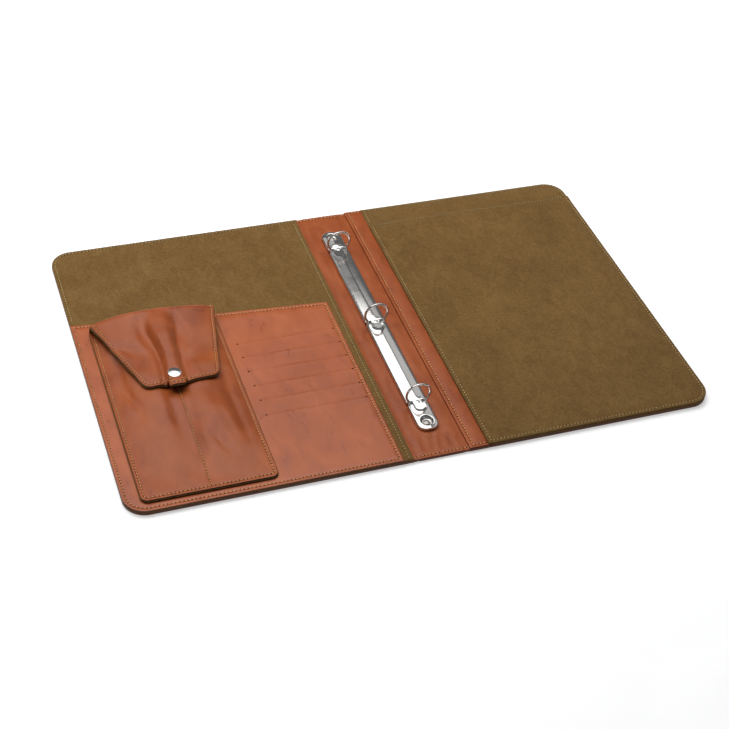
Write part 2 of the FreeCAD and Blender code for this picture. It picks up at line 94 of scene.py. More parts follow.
RIVETS = [centre_of("rivet_" + end) for end in ("near", "far")]
RINGS = {place: centre_of("left_half_ring_" + place)[1] for place in ("near", "middle", "far")}
JOINTS = {joint["name"]: joint for joint in frame["joints"]}

# ---- Driving sizes ----
CORNER_RADIUS = 19.0
TURNED_EDGE = 2.8               # height of the outer leather where its edge is turned over
BORDER = 5.2                    # width of that turned edge
SEAM_INSET = 3.0                # from a cover's edge to its stitches
STITCH = 3.3                    # from one stitch to the next
THREAD = 0.36                   # thread radius
THREAD_SIDES = 8
# rows of points along one stitch: how far from its middle, how high, and how thick
STITCH_REACH = np.array([-0.40, -0.33, -0.18, 0.0, 0.18, 0.33, 0.40]) * STITCH
STITCH_RISE = np.array([-0.50, 0.0, 0.2, 0.26, 0.2, 0.0, -0.50])
STITCH_RADII = np.array([0.12, 0.26, 0.3, 0.3, 0.3, 0.26, 0.12]) / 0.3 * THREAD
STITCH_SLANT = 0.32 / STITCH    # sideways shift for each millimetre along
SEAM_HALF = 0.7                 # half width of the pressed line that a seam lies in
EDGE_STEPS = (0.15, 0.4, 0.9)   # rows of points that round a trimmed edge
SKIN = 1.3                      # thickness of the flap's leather
FLAP_LINING = 0.9
GAP = 0.02                      # between sheets that lie on each other
FAR_AWAY = 99.0                 # stands for the distance to a seam where there is none


# ---- Small formulas ----
def ease(low, high, value):
    """0 before low, 1 after high, smooth between."""
    t = np.clip((value - low) / (high - low), 0, 1)
    return t * t * (3 - 2 * t)


def hump(offset, width):
    """1 in the middle, fading to 0 on both sides."""
    return np.exp(-(offset / width) ** 2)


def waves(x, y, seed, length, height):
    """Gentle uneven waviness of a sheet."""
    rng = np.random.default_rng(seed)
    count = 6
    turns = rng.uniform(0, math.tau, count)
    phases = rng.uniform(0, math.tau, count)
    stretches = rng.uniform(0.6, 1.7, count)
    total = np.zeros_like(x)
    for turn, phase, stretch in zip(turns, phases, stretches):
        along = x * math.cos(turn) + y * math.sin(turn)
        total += np.sin(along * math.tau / (length * stretch) + phase)
    return total * height / count


def nearest(points, line):
    """Distance from each point to a polyline, and how far along the polyline that is."""
    starts, ends = line[:-1], line[1:]
    lengths = np.linalg.norm(ends - starts, axis=1)
    before = np.concatenate([[0.0], np.cumsum(lengths)[:-1]])
    best = np.full(len(points), np.inf)
    place = np.zeros(len(points))
    for start, end, length, done in zip(starts, ends, lengths, before):
        if length < 1e-9:
            continue
        along = np.clip((points - start) @ (end - start) / length ** 2, 0, 1)
        away = np.linalg.norm(points - start - along[:, None] * (end - start), axis=1)
        closer = away < best
        best[closer] = away[closer]
        place[closer] = done + along[closer] * length
    return best, place


def crease(x, y, path, depths, widths):
    """Furrow along a path: its depth and width are given at even steps along it."""
    line = np.array(path, float)
    away, place = nearest(columns(x, y), line)
    share = place / max(place.max(), 1e-9)
    depth = np.interp(share, np.linspace(0, 1, len(depths)), depths)
    width = np.interp(share, np.linspace(0, 1, len(widths)), widths)
    return depth * hump(away, width)


def resample(line, step):
    """The same polyline with points an even step apart."""
    length = lengths_along(line)[-1]
    return along_line(line, np.linspace(0, length, max(2, int(round(length / step)) + 1)))


def straight(x0, y0, x1, y1):
    return np.array([[x0, y0], [x1, y1]])


def columns(*values):
    return np.stack(values, axis=1)


def lengths_along(line):
    return np.concatenate([[0.0], np.cumsum(np.linalg.norm(np.diff(line, axis=0), axis=1))])


def along_line(line, at):
    """Points of a polyline at given lengths from its start."""
    along = lengths_along(line)
    return columns(*(np.interp(at, along, line[:, axis]) for axis in range(2)))


def unit(vectors):
    return vectors / np.linalg.norm(vectors, axis=1)[:, None]


def left_of(directions):
    """Directions turned a quarter turn to the left."""
    return columns(-directions[:, 1], directions[:, 0])


# ---- Outlines ----
def moved_in(corners, trimmed, inset):
    """Corners (x, y, radius) of a counter-clockwise outline, moved in from its trimmed edges."""
    points = np.array([corner[:2] for corner in corners], float)
    moved = []
    for index, point in enumerate(points):
        before = point - points[index - 1]
        after = points[(index + 1) % len(points)] - point
        normals = np.array([[-edge[1], edge[0]] / np.linalg.norm(edge) for edge in (before, after)])
        insets = np.array([inset if trimmed[index - 1] else 0.0, inset if trimmed[index] else 0.0])
        place = np.linalg.solve(normals, normals @ point + insets)
        radius = corners[index][2]
        if radius > 0:
            radius = max(radius - inset * math.copysign(1.0, np.cross(before, after)), 0.0)
        moved.append((place[0], place[1], radius))
    return moved


def corner_arc(corners, index, step):
    """Points of the arc that rounds a corner, or the corner alone."""
    x, y, radius = corners[index]
    corner = np.array([x, y])
    if radius <= 0:
        return [corner]
    to_last = np.array(corners[index - 1][:2]) - corner
    to_next = np.array(corners[(index + 1) % len(corners)][:2]) - corner
    to_last /= np.linalg.norm(to_last)
    to_next /= np.linalg.norm(to_next)
    half = math.acos(np.clip(to_last @ to_next, -1, 1)) / 2
    centre = corner + (to_last + to_next) / np.linalg.norm(to_last + to_next) * radius / math.sin(half)
    start = corner + to_last * radius / math.tan(half) - centre
    turn = (math.pi - 2 * half) * math.copysign(1.0, np.cross(-to_last, to_next))
    count = max(2, int(math.ceil(abs(turn) / step)))
    return [centre + rotated(start, turn * part / count) for part in range(count + 1)]


def rotated(vector, angle):
    cosine, sine = math.cos(angle), math.sin(angle)
    return np.array([vector[0] * cosine - vector[1] * sine, vector[0] * sine + vector[1] * cosine])


ARC_STEP = math.radians(7)


def outline(corners, trimmed, inset=0.0, step=3.0, edges=None):
    """Points along all of an outline, or along some of its edges in a row.

    They are moved in from the trimmed edges, as many of them for every inset, so that rows line up.
    An untrimmed edge gets a point where each row ends.
    """
    inner = moved_in(corners, trimmed, inset)
    count = len(corners)
    chosen = range(count) if edges is None else edges
    points = []
    for position, edge in enumerate(chosen):
        if edges is None or position > 0:
            points += corner_arc(inner, edge, ARC_STEP)
        else:
            points += corner_arc(inner, edge, ARC_STEP)[-1:]
        start = points[-1]
        end = corner_arc(inner, (edge + 1) % count, ARC_STEP)[0]
        whole = np.linalg.norm(np.subtract(corners[(edge + 1) % count][:2], corners[edge][:2]))
        parts = np.linspace(0, 1, max(2, int(round(whole / step)) + 1))[1:-1]
        if not trimmed[edge]:
            rows = np.array(EDGE_STEPS) / whole
            middle = parts[(parts > rows[-1] * 2) & (parts < 1 - rows[-1] * 2)]
            parts = np.concatenate([rows, middle, 1 - rows[::-1]])
        points += [start + (end - start) * part for part in parts]
    if edges is not None:
        points.append(end)
    return np.array(points)


def inside(points, polygon):
    """Which points lie within a closed polygon."""
    result = np.zeros(len(points), bool)
    x, y = points[:, 0], points[:, 1]
    for (x0, y0), (x1, y1) in zip(polygon, np.roll(polygon, -1, axis=0)):
        if y0 == y1:
            continue
        crosses = ((y0 > y) != (y1 > y)) & (x < (x1 - x0) * (y - y0) / (y1 - y0) + x0)
        result ^= crosses
    return result


def closed(line):
    return np.concatenate([line, line[:1]])


# ---- Meshes ----
def add_to_scene(name, data):
    obj = bpy.data.objects.new(name, data)
    bpy.context.scene.collection.objects.link(obj)
    return obj


def new_object(name, vertices, faces, material, attributes=None):
    """Smooth mesh object from millimetre vertices, keeping its rest position for the materials."""
    mesh = bpy.data.meshes.new(name)
    mesh.from_pydata((np.asarray(vertices) * MM).tolist(), [], faces)
    mesh.validate()
    for polygon in mesh.polygons:
        polygon.use_smooth = True
    for label, values in (attributes or {}).items():
        layer = mesh.attributes.new(label, "FLOAT", "POINT")
        layer.data.foreach_set("value", np.asarray(values, np.float32))
    obj = add_to_scene(name, mesh)
    keep_rest(obj)
    mesh.materials.append(material)
    return obj


def tube_faces(rows, sides, first=0):
    """Faces of a closed tube whose points go round it row by row, starting at point number first."""
    faces = []
    for row in range(rows - 1):
        a = first + row * sides
        for part in range(sides):
            other = (part + 1) % sides
            faces.append((a + part, a + other, a + sides + other, a + sides + part))
    last = first + (rows - 1) * sides
    faces.append(tuple(first + part for part in range(sides))[::-1])
    faces.append(tuple(last + part for part in range(sides)))
    return faces


def upward(points, triangles):
    """Flat triangles as tuples that run counter-clockwise seen from above."""
    a, b, c = (points[triangles[:, corner]] for corner in range(3))
    signed = np.cross(b - a, c - a)
    return [tuple(t) if s > 0 else tuple(t[::-1]) for t, s in zip(triangles.tolist(), signed)]


def keep_rest(obj):
    """Stores where each point rests, in millimetres, so that no texture slides as a piece bends."""
    coordinates = np.zeros(len(obj.data.vertices) * 3, np.float32)
    obj.data.vertices.foreach_get("co", coordinates)
    layer = obj.data.attributes.new("rest", "FLOAT_VECTOR", "POINT")
    layer.data.foreach_set("vector", coordinates / MM)


def flat(x, y):
    return columns(x, y, np.zeros_like(x))


def level(height):
    """A height that is the same everywhere on a sheet."""
    return lambda x, y, d: np.full_like(x, height)


class Sheet:
    """A sheet with trimmed edges and pressed seams.

    top and bottom give its heights over a surface from x, y and the distance to a trimmed edge.
    fine_bottom meshes the underside as closely as the top, and rows are extra lines of points.
    """

    def __init__(self, corners, top, bottom, trimmed=None, surface=flat, seams=(), holes=(),
                 grid=5.0, edge_radius=0.45, seam_depth=0.28, fine_bottom=False, rows=()):
        self.corners = corners
        self.trimmed = trimmed or [True] * len(corners)
        self.top, self.bottom, self.surface = top, bottom, surface
        self.seams, self.holes = list(seams), list(holes)
        self.grid, self.edge_radius, self.seam_depth = grid, edge_radius, seam_depth
        self.fine_bottom, self.rows = fine_bottom, list(rows)
        self.rim = outline(corners, self.trimmed, step=min(grid, 3.0))
        self.cuts = self.trimmed_runs()

    def trimmed_runs(self):
        """Polylines of the edges that are cut or turned, so that the skin rounds off there."""
        if all(self.trimmed):
            return [closed(self.rim)]
        count = len(self.corners)
        start = next(i for i in range(count) if self.trimmed[i] and not self.trimmed[i - 1])
        runs, run = [], []
        for step in range(count):
            edge = (start + step) % count
            if self.trimmed[edge]:
                run.append(edge)
            elif run:
                runs.append(run)
                run = []
        if run:
            runs.append(run)
        return [outline(self.corners, self.trimmed, edges=edges) for edges in runs]

    def edge_distance(self, points):
        return np.min([nearest(points, cut)[0] for cut in self.cuts], axis=0)

    def seam_place(self, points):
        """Distance to the nearest seam, and how far along it."""
        away, place = np.full(len(points), FAR_AWAY), np.zeros(len(points))
        for seam in self.seams:
            distance, along = nearest(points, seam)
            closer = distance < away
            away[closer], place[closer] = distance[closer], along[closer]
        return away, place

    def rounding(self, distance):
        """How far the skin drops towards a trimmed edge."""
        share = np.clip(distance / self.edge_radius, 0, 1)
        return self.edge_radius * (1 - np.sqrt(1 - (1 - share) ** 2))

    def top_height(self, points):
        distance = self.edge_distance(points)
        groove = self.seam_depth * hump(self.seam_place(points)[0], SEAM_HALF)
        return self.top(points[:, 0], points[:, 1], distance) - self.rounding(distance) - groove

    def bottom_height(self, points):
        distance = self.edge_distance(points)
        return self.bottom(points[:, 0], points[:, 1], distance) + self.rounding(distance) * 0.6

    def lifted(self, points, heights):
        """Points of the layout raised from the surface along its normal."""
        x, y = points[:, 0], points[:, 1]
        if self.surface is flat:
            return columns(x, y, heights)
        gap = 0.05
        along_x = self.surface(x + gap, y) - self.surface(x - gap, y)
        along_y = self.surface(x, y + gap) - self.surface(x, y - gap)
        normal = unit(np.cross(along_x, along_y))
        return self.surface(x, y) + normal * np.asarray(heights)[:, None]

    def layout(self, fine):
        """Triangles of the sheet laid flat: rows along the rim and the seams, then an even grid."""
        boundary = [self.rim] + self.holes
        rows = [outline(self.corners, self.trimmed, inset, min(self.grid, 3.0)) for inset in EDGE_STEPS]
        if fine:
            for seam in self.seams:
                rows += self.seam_rows(seam)
            rows += self.rows
        inner = np.concatenate(rows)
        if fine:
            inner = np.concatenate([inner, self.grid_points(inner)])
        inner = self.kept(inner, EDGE_STEPS[0] * 0.6)
        inner = np.unique(np.round(inner, 3), axis=0)
        points = np.concatenate(boundary + [inner])
        edges, done = [], 0
        for loop in boundary:
            edges += [(done + i, done + (i + 1) % len(loop)) for i in range(len(loop))]
            done += len(loop)
        points = [Vector(point) for point in points]
        vertices, _, faces, sources, _, _ = delaunay_2d_cdt(points, edges, [], 0, 1e-4)
        laid = np.array([tuple(v) for v in vertices])
        triangles = np.array(faces)
        where = {source: new for new, group in enumerate(sources) for source in group}
        loops, done = [], 0
        for loop in boundary:
            loops.append([where[done + i] for i in range(len(loop))])
            done += len(loop)
        middles = laid[triangles].mean(axis=1)
        good = inside(middles, self.rim)
        for hole in self.holes:
            good &= ~inside(middles, hole)
        self.judge_slivers(laid, triangles, loops[0], good)
        return laid, triangles[good], loops

    @staticmethod
    def judge_slivers(laid, triangles, loop, good):
        """Keeps a sliver along a straight part of the rim only if it lies on the inner side."""
        order = {point: position for position, point in enumerate(loop)}
        a, b, c = (laid[triangles[:, corner]] for corner in range(3))
        areas = np.abs(np.cross(b - a, c - a))
        for index in np.nonzero(areas < 1e-3)[0]:
            corners = triangles[index].tolist()
            if all(corner in order for corner in corners):
                first, second, third = (laid[corner] for corner in sorted(corners, key=order.get))
                good[index] = np.cross(second - first, third - first) > 0

    def seam_rows(self, seam):
        """Rows of points on and beside a seam, which carry the line it presses into the leather."""
        line = resample(seam, STITCH / 2)
        side = left_of(unit(np.gradient(line, axis=0)))
        return [line + side * offset * SEAM_HALF for offset in (-1.6, -0.8, 0.0, 0.8, 1.6)]

    def grid_points(self, rows):
        low, high = self.rim.min(axis=0), self.rim.max(axis=0)
        x, y = np.meshgrid(np.arange(low[0] + self.grid / 2, high[0], self.grid),
                           np.arange(low[1] + self.grid / 2, high[1], self.grid))
        points = columns(x.ravel(), y.ravel())
        room = self.grid * 0.45
        points = points[(self.edge_distance(points) > EDGE_STEPS[-1] + room)]
        points = points[(self.seam_place(points)[0] > SEAM_HALF * 1.6 + room)]
        for row in self.rows:
            points = points[nearest(points, closed(row))[0] > self.grid * 0.3]
        return points

    def kept(self, points, room):
        """Points within the sheet that don't crowd its rim or holes."""
        good = inside(points, self.rim) & (nearest(points, closed(self.rim))[0] > room)
        for hole in self.holes:
            good &= ~inside(points, hole) & (nearest(points, closed(hole))[0] > room)
        return points[good]

    def build(self, name, material):
        """Closed skin of the sheet: top, underside and the walls that join them."""
        laid, triangles, loops = self.layout(True)
        under, under_triangles, under_loops = (laid, triangles, loops)
        if not self.fine_bottom:
            under, under_triangles, under_loops = self.layout(False)
        top = self.lifted(laid, self.top_height(laid))
        bottom = self.lifted(under, self.bottom_height(under))
        count = len(top)
        faces = upward(laid, triangles)
        faces += [tuple(count + i for i in face[::-1]) for face in upward(under, under_triangles)]
        joins = set()
        for number, (upper, lower) in enumerate(zip(loops, under_loops)):
            middles = (laid[upper] + laid[np.roll(upper, -1)]) / 2
            untrimmed = self.edge_distance(middles) > 0.02
            for i, _ in enumerate(upper):
                j = (i + 1) % len(upper)
                wall = (upper[i], count + lower[i], count + lower[j], upper[j])
                faces.append(wall if number == 0 else wall[::-1])
                if number > 0 or untrimmed[i]:
                    joins.add(frozenset((int(upper[i]), int(upper[j]))))
                    joins.add(frozenset((int(count + lower[i]), int(count + lower[j]))))
        away, place = self.seam_place(laid)
        distance = self.edge_distance(laid)
        on_rim = np.zeros(len(under))
        for loop in under_loops:
            on_rim[loop] = 1.0
        filler = np.zeros(len(under))
        attributes = {
            "edge": np.concatenate([1 - ease(0.0, 0.5, distance), on_rim]),
            "seam_along": np.concatenate([place / STITCH, filler]),
            "seam_away": np.concatenate([away, filler + FAR_AWAY]),
        }
        piece = new_object(name, np.concatenate([top, bottom]), faces, material, attributes)
        for edge in piece.data.edges:
            edge.use_edge_sharp = frozenset(edge.vertices) in joins
        return piece

    def stitches(self, name, material, below=False):
        """Thread showing on this sheet between the needle holes of its seams, or on its underside."""
        vertices, faces = [], []
        for seam in self.seams:
            self.add_stitches(seam, below, vertices, faces)
        return new_object(name, np.concatenate(vertices), faces, material)

    def add_stitches(self, seam, below, vertices, faces):
        """One short tube for each stitch of a seam, slanting a little and sinking in at both ends."""
        count = int(lengths_along(seam)[-1] / STITCH)
        middles = (np.arange(count) + 0.5) * STITCH
        at = (middles[:, None] + STITCH_REACH).ravel()
        line = along_line(seam, at)
        side = left_of(unit(along_line(seam, at + 0.3) - along_line(seam, at - 0.3)))
        line = line + side * np.tile(STITCH_REACH * STITCH_SLANT, count)[:, None]
        lift = np.tile(STITCH_RISE, count)
        skin = self.top_height(line)
        raised = self.bottom_height(line) - lift * 0.6 if below else skin + lift
        centre = self.lifted(line, raised)
        outward = self.lifted(line, raised + (-1.0 if below else 1.0)) - centre
        across = unit(self.lifted(line + side * 0.1, skin) - self.lifted(line - side * 0.1, skin))
        angles = np.arange(THREAD_SIDES) * math.tau / THREAD_SIDES
        ring = (across[:, None, :] * np.cos(angles)[None, :, None]
                + outward[:, None, :] * np.sin(angles)[None, :, None])
        points = centre[:, None, :] + ring * np.tile(STITCH_RADII, count)[:, None, None]
        first = sum(len(v) for v in vertices)
        vertices.append(points.reshape(-1, 3))
        rows = len(STITCH_REACH)
        for stitch in range(count):
            faces.extend(tube_faces(rows, THREAD_SIDES, first + stitch * rows * THREAD_SIDES))


# ---- Materials ----
class Finish:
    """A material being put together from nodes."""

    def __init__(self, name):
        self.material = bpy.data.materials.new(name)
        self.material.use_nodes = True
        self.tree = self.material.node_tree
        self.shader = self.tree.nodes["Principled BSDF"]

    def node(self, kind, inputs=None, **settings):
        made = self.tree.nodes.new(kind)
        for key, value in settings.items():
            setattr(made, key, value)
        for key, value in (inputs or {}).items():
            self.put(made.inputs[key], value)
        return made

    def put(self, socket, value):
        if isinstance(value, bpy.types.NodeSocket):
            self.tree.links.new(value, socket)
        else:
            socket.default_value = value

    def set(self, **values):
        """Sets the shader's inputs, whose names are written with _ for each space."""
        for key, value in values.items():
            self.put(self.shader.inputs[key.replace("_", " ")], value)

    def rest(self):
        return self.node("ShaderNodeAttribute", attribute_name="rest").outputs["Vector"]

    def share(self, label):
        return self.node("ShaderNodeAttribute", attribute_name=label).outputs["Fac"]

    def noise(self, scale, detail=3.0, stretch=None, distortion=0.0):
        place = self.rest()
        if stretch:
            made = self.node("ShaderNodeVectorMath", {0: place, 1: stretch}, operation="MULTIPLY")
            place = made.outputs[0]
        return self.node("ShaderNodeTexNoise", {
            "Vector": place, "Scale": scale, "Detail": detail, "Distortion": distortion,
        }).outputs["Fac"]

    def combine(self, operation, a, b):
        return self.node("ShaderNodeMath", {0: a, 1: b}, operation=operation).outputs[0]

    def blend(self, *parts):
        """Sum of (share, value) parts."""
        total = None
        for share, value in parts:
            part = self.combine("MULTIPLY", value, share)
            total = part if total is None else self.combine("ADD", total, part)
        return total

    def range(self, value, low, high, to_low=0.0, to_high=1.0):
        return self.node("ShaderNodeMapRange", {
            "Value": value, "From Min": low, "From Max": high, "To Min": to_low, "To Max": to_high,
        }).outputs["Result"]

    def ramp(self, value, stops):
        made = self.node("ShaderNodeValToRGB", {"Fac": value})
        ramp = made.color_ramp
        while len(ramp.elements) < len(stops):
            ramp.elements.new(0.5)
        for element, (position, colour) in zip(ramp.elements, stops):
            element.position = position
            element.color = (*colour, 1.0)
        return made.outputs["Color"]

    def mix(self, share, a, b):
        made = self.node("ShaderNodeMix", {0: share}, data_type="RGBA")
        self.put(made.inputs[6], a)
        self.put(made.inputs[7], b)
        return made.outputs[2]

    def bump(self, height, strength, distance, below=None):
        values = {"Height": height, "Strength": strength, "Distance": distance * MM}
        made = self.node("ShaderNodeBump", values)
        if below is not None:
            self.put(made.inputs["Normal"], below)
        return made.outputs["Normal"]

    def holes(self):
        """1 in the needle holes at both ends of every stitch, 0 elsewhere."""
        along = self.share("seam_along")
        whole = self.combine("ROUND", along, 0.0)
        off = self.combine("MULTIPLY", self.combine("SUBTRACT", along, whole), STITCH)
        away = self.share("seam_away")
        squares = [self.combine("MULTIPLY", value, value) for value in (off, away)]
        distance = self.combine("SQRT", self.combine("ADD", *squares), 0.0)
        return self.range(distance, 0.42, 0.85, 1.0, 0.0)


# colours of the materials, as linear red, green and blue
COGNAC_DARK = (0.170, 0.0350, 0.0085)
COGNAC = (0.240, 0.0545, 0.0132)
COGNAC_LIGHT = (0.296, 0.0760, 0.0200)
COGNAC_EDGE = (0.030, 0.009, 0.005)
OLIVE_DARK = (0.100, 0.053, 0.0165)
OLIVE = (0.131, 0.0725, 0.0230)
OLIVE_LIGHT = (0.163, 0.094, 0.0310)
OLIVE_EDGE = (0.080, 0.048, 0.016)


def leather(name, shade=1.0, gloss=0.31):
    """Smooth waxed cowhide: cloudy colour, fine grain, faint wrinkles, dark burnished edges and painted
    shade in the needle holes.
    """
    # shade scales every colour of the leather; above 1 it gives a brighter copy, painted light
    dark, middle, light = (tuple(channel * shade for channel in colour)
                           for colour in (COGNAC_DARK, COGNAC, COGNAC_LIGHT))
    finish = Finish(name)
    clouds = finish.noise(0.018, 4.0, None, 0.6)
    streaks = finish.noise(0.09, 5.0, (1.0, 0.45, 1.0), 0.8)
    fine = finish.noise(1.3, 4.0)
    tone = finish.blend((0.40, clouds), (0.40, streaks), (0.20, fine))
    colour = finish.ramp(tone, [(0.33, dark), (0.50, middle), (0.67, light)])
    edge = finish.range(finish.share("edge"), 0.75, 0.97)
    colour = finish.mix(edge, colour, (*COGNAC_EDGE, 1.0))
    holes = finish.holes()
    # painted shade: the needle holes are darkened as though shade fell into them; the bump further down
    # also presses them in
    colour = finish.mix(holes, colour, (0.012, 0.004, 0.002, 1.0))
    pores = finish.node("ShaderNodeTexVoronoi", {"Vector": finish.rest(), "Scale": 1.25}, feature="F1")
    creases = finish.noise(0.35, 6.0, (1.0, 0.6, 1.0), 1.6)
    normal = finish.bump(pores.outputs["Distance"], 0.30, 0.10)
    normal = finish.bump(fine, 0.35, 0.08, normal)
    normal = finish.bump(creases, 0.09, 0.30, normal)
    normal = finish.bump(finish.combine("SUBTRACT", 1.0, holes), 0.9, 0.5, normal)
    rough = finish.range(streaks, 0.3, 0.7, 0.27, 0.35)
    finish.set(Base_Color=colour, Roughness=rough, Normal=normal, Specular_IOR_Level=gloss)
    return finish.material


def suede(name):
    """Olive suede with a brushed nap: patches, fine mottling, a soft sheen and painted shade in the
    needle holes.
    """
    finish = Finish(name)
    patches = finish.noise(0.014, 3.0, None, 0.8)
    strokes = finish.noise(0.10, 5.0, (1.0, 0.6, 1.0), 1.2)
    nap = finish.noise(0.42, 4.0)
    fuzz = finish.noise(3.2, 3.0)
    tone = finish.blend((0.24, patches), (0.28, strokes), (0.34, nap), (0.14, fuzz))
    colour = finish.ramp(tone, [(0.38, OLIVE_DARK), (0.50, OLIVE), (0.62, OLIVE_LIGHT)])
    edge = finish.range(finish.share("edge"), 0.7, 1.0)
    colour = finish.mix(edge, colour, (*OLIVE_EDGE, 1.0))
    # painted shade: the needle holes are darkened as though shade fell into them
    colour = finish.mix(finish.holes(), colour, (0.030, 0.016, 0.006, 1.0))
    normal = finish.bump(nap, 0.5, 0.25)
    normal = finish.bump(fuzz, 0.6, 0.12, normal)
    finish.set(Base_Color=colour, Normal=normal, Roughness=0.95, Specular_IOR_Level=0.15,
               Sheen_Weight=0.12, Sheen_Roughness=0.45, Sheen_Tint=(0.85, 0.75, 0.5, 1.0))
    return finish.material


def thread(name, dark, light):
    """Waxed twisted thread."""
    finish = Finish(name)
    twist = finish.node("ShaderNodeTexWave", {"Vector": finish.rest(), "Scale": 1.6, "Distortion": 1.0},
                        bands_direction="DIAGONAL").outputs["Fac"]
    tone = finish.blend((0.5, twist), (0.5, finish.noise(0.2)))
    colour = finish.ramp(tone, [(0.25, dark), (0.75, light)])
    finish.set(Base_Color=colour, Normal=finish.bump(twist, 0.5, 0.08), Roughness=0.6)
    return finish.material


def metal(name, colour, rough, brushed=0.0):
    """Plated metal with faint handling marks."""
    finish = Finish(name)
    smears = finish.noise(0.06, 4.0, None, 1.0)
    shade = tuple(channel * 0.88 for channel in colour)
    finish.set(Base_Color=finish.ramp(smears, [(0.3, shade), (0.6, colour)]), Metallic=1.0,
               Roughness=finish.range(smears, 0.3, 0.7, rough * 0.9, rough * 1.1))
    if brushed:
        lines = finish.noise(3.0, 2.0, (1.0, 0.03, 1.0))
        finish.set(Normal=finish.bump(lines, brushed, 0.02))
    return finish.material


def greyboard(name):
    finish = Finish(name)
    fibres = finish.noise(1.2, 6.0, (1.0, 0.4, 1.0), 0.5)
    colour = finish.ramp(fibres, [(0.3, (0.22, 0.20, 0.18)), (0.7, (0.36, 0.34, 0.31))])
    finish.set(Base_Color=colour, Normal=finish.bump(fibres, 0.4, 0.1), Roughness=0.9)
    return finish.material


def pocket_cloth(name):
    """Thin woven lining of the card pockets."""
    finish = Finish(name)
    bands = {"Vector": finish.rest(), "Scale": 0.6}
    warp = finish.node("ShaderNodeTexWave", bands, bands_direction="X")
    weft = finish.node("ShaderNodeTexWave", bands, bands_direction="Y")
    weave = finish.combine("MULTIPLY", warp.outputs["Fac"], weft.outputs["Fac"])
    tone = finish.blend((0.6, weave), (0.4, finish.noise(0.3)))
    colour = finish.ramp(tone, [(0.2, (0.035, 0.022, 0.012)), (0.8, (0.085, 0.055, 0.030))])
    finish.set(Base_Color=colour, Normal=finish.bump(weave, 0.5, 0.1), Roughness=0.85)
    return finish.material


LEATHER = leather("cognac_leather")
# the card panel gets a brighter copy of the cognac leather: painted light, standing in for the extra
# light that falls on the panel
LIT_PANEL_LEATHER = leather("lit_cognac_leather", 1.19, 0.50)
SUEDE = suede("olive_suede")
RUST_THREAD = thread("rust_thread", (0.50, 0.195, 0.060), (0.76, 0.37, 0.150))
PALE_THREAD = thread("pale_thread", (0.28, 0.190, 0.072), (0.46, 0.33, 0.140))
NICKEL = metal("polished_nickel", (0.80, 0.775, 0.75), 0.11)
# darker, rougher copy of the nickel for the mounting rivets: its darker colour is painted shade and
# painted dark reflection
DULL_SHADED_NICKEL = metal("dull_shaded_nickel", (0.36, 0.34, 0.32), 0.16)
STEEL = metal("plain_steel", (0.52, 0.52, 0.53), 0.32, 0.25)
BOARD = greyboard("greyboard")
CLOTH = pocket_cloth("pocket_fabric")


# ---- Placing pieces ----
def placed(piece, body, nodes=()):
    """A piece that rides on one body."""
    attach(piece, body)
    finished(nodes)
    return piece


def finished(nodes):
    if nodes:
        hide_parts(*nodes)


def bent(piece, nodes=()):
    """A piece with its placement baked into its points, and the nodes it stands for hidden."""
    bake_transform(piece)
    finished(nodes)
    return piece


def fold_x(joint_name):
    return JOINTS[joint_name]["pos_m"][0] / MM


def rectangle(left, near, right, far, near_left=0.0, near_right=0.0, far_right=0.0, far_left=0.0):
    """Corners (x, y, radius) of an upright rectangle, counter-clockwise from its near left one."""
    return [(left, near, near_left), (right, near, near_right),
            (right, far, far_right), (left, far, far_left)]


# ---- Covers and spine ----
END_SEAMS = (CASE_NEAR + SEAM_INSET, CASE_FAR - SEAM_INSET)
SUEDE_SEAM = 3.8                # from the left lining's edge at the spine to its stitches
STRIP_SEAM = 4.0                # from the hinge strip's edge to its stitches
STRIP_LAP = 2.2                 # of the spine's leather under the hinge strip
STRIP_TUCK = 4.0                # of the hinge strip under the right lining
STRIP_BOTTOM = 3.32             # underside of the hinge strip where it overhangs the spine
UNDER_SUEDE = 3.85              # top of the hinge strip where the right lining covers it
HEM_WIDTH = 7.0                 # of the document pocket's far edge
GATHERS = 5                     # small folds of the spine's leather at its near end
GATHER_START = 3.5              # from the left lining to the first gather
GATHER_PITCH = 8.2              # from one gather to the next
GATHER_NEAR = CASE_NEAR + 7.5   # where the gathers begin and end
GATHER_FAR = HOUSING_NEAR + 2.0
OVER_BOARD = 18.0               # half width of the spine's leather that is lifted by the board
SPINE_UNDERSIDE = 1.9           # underside of the spine's inner leather, beside the board
SPINE_STEP = 0.55               # its rise over the board and over the turned edges


def rounded_left(left, right):
    """A cover's full length, with the case's rounded corners on the left."""
    return rectangle(left, CASE_NEAR, right, CASE_FAR, near_left=CORNER_RADIUS, far_left=CORNER_RADIUS)


def rounded_right(left, right):
    return rectangle(left, CASE_NEAR, right, CASE_FAR, near_right=CORNER_RADIUS, far_right=CORNER_RADIUS)


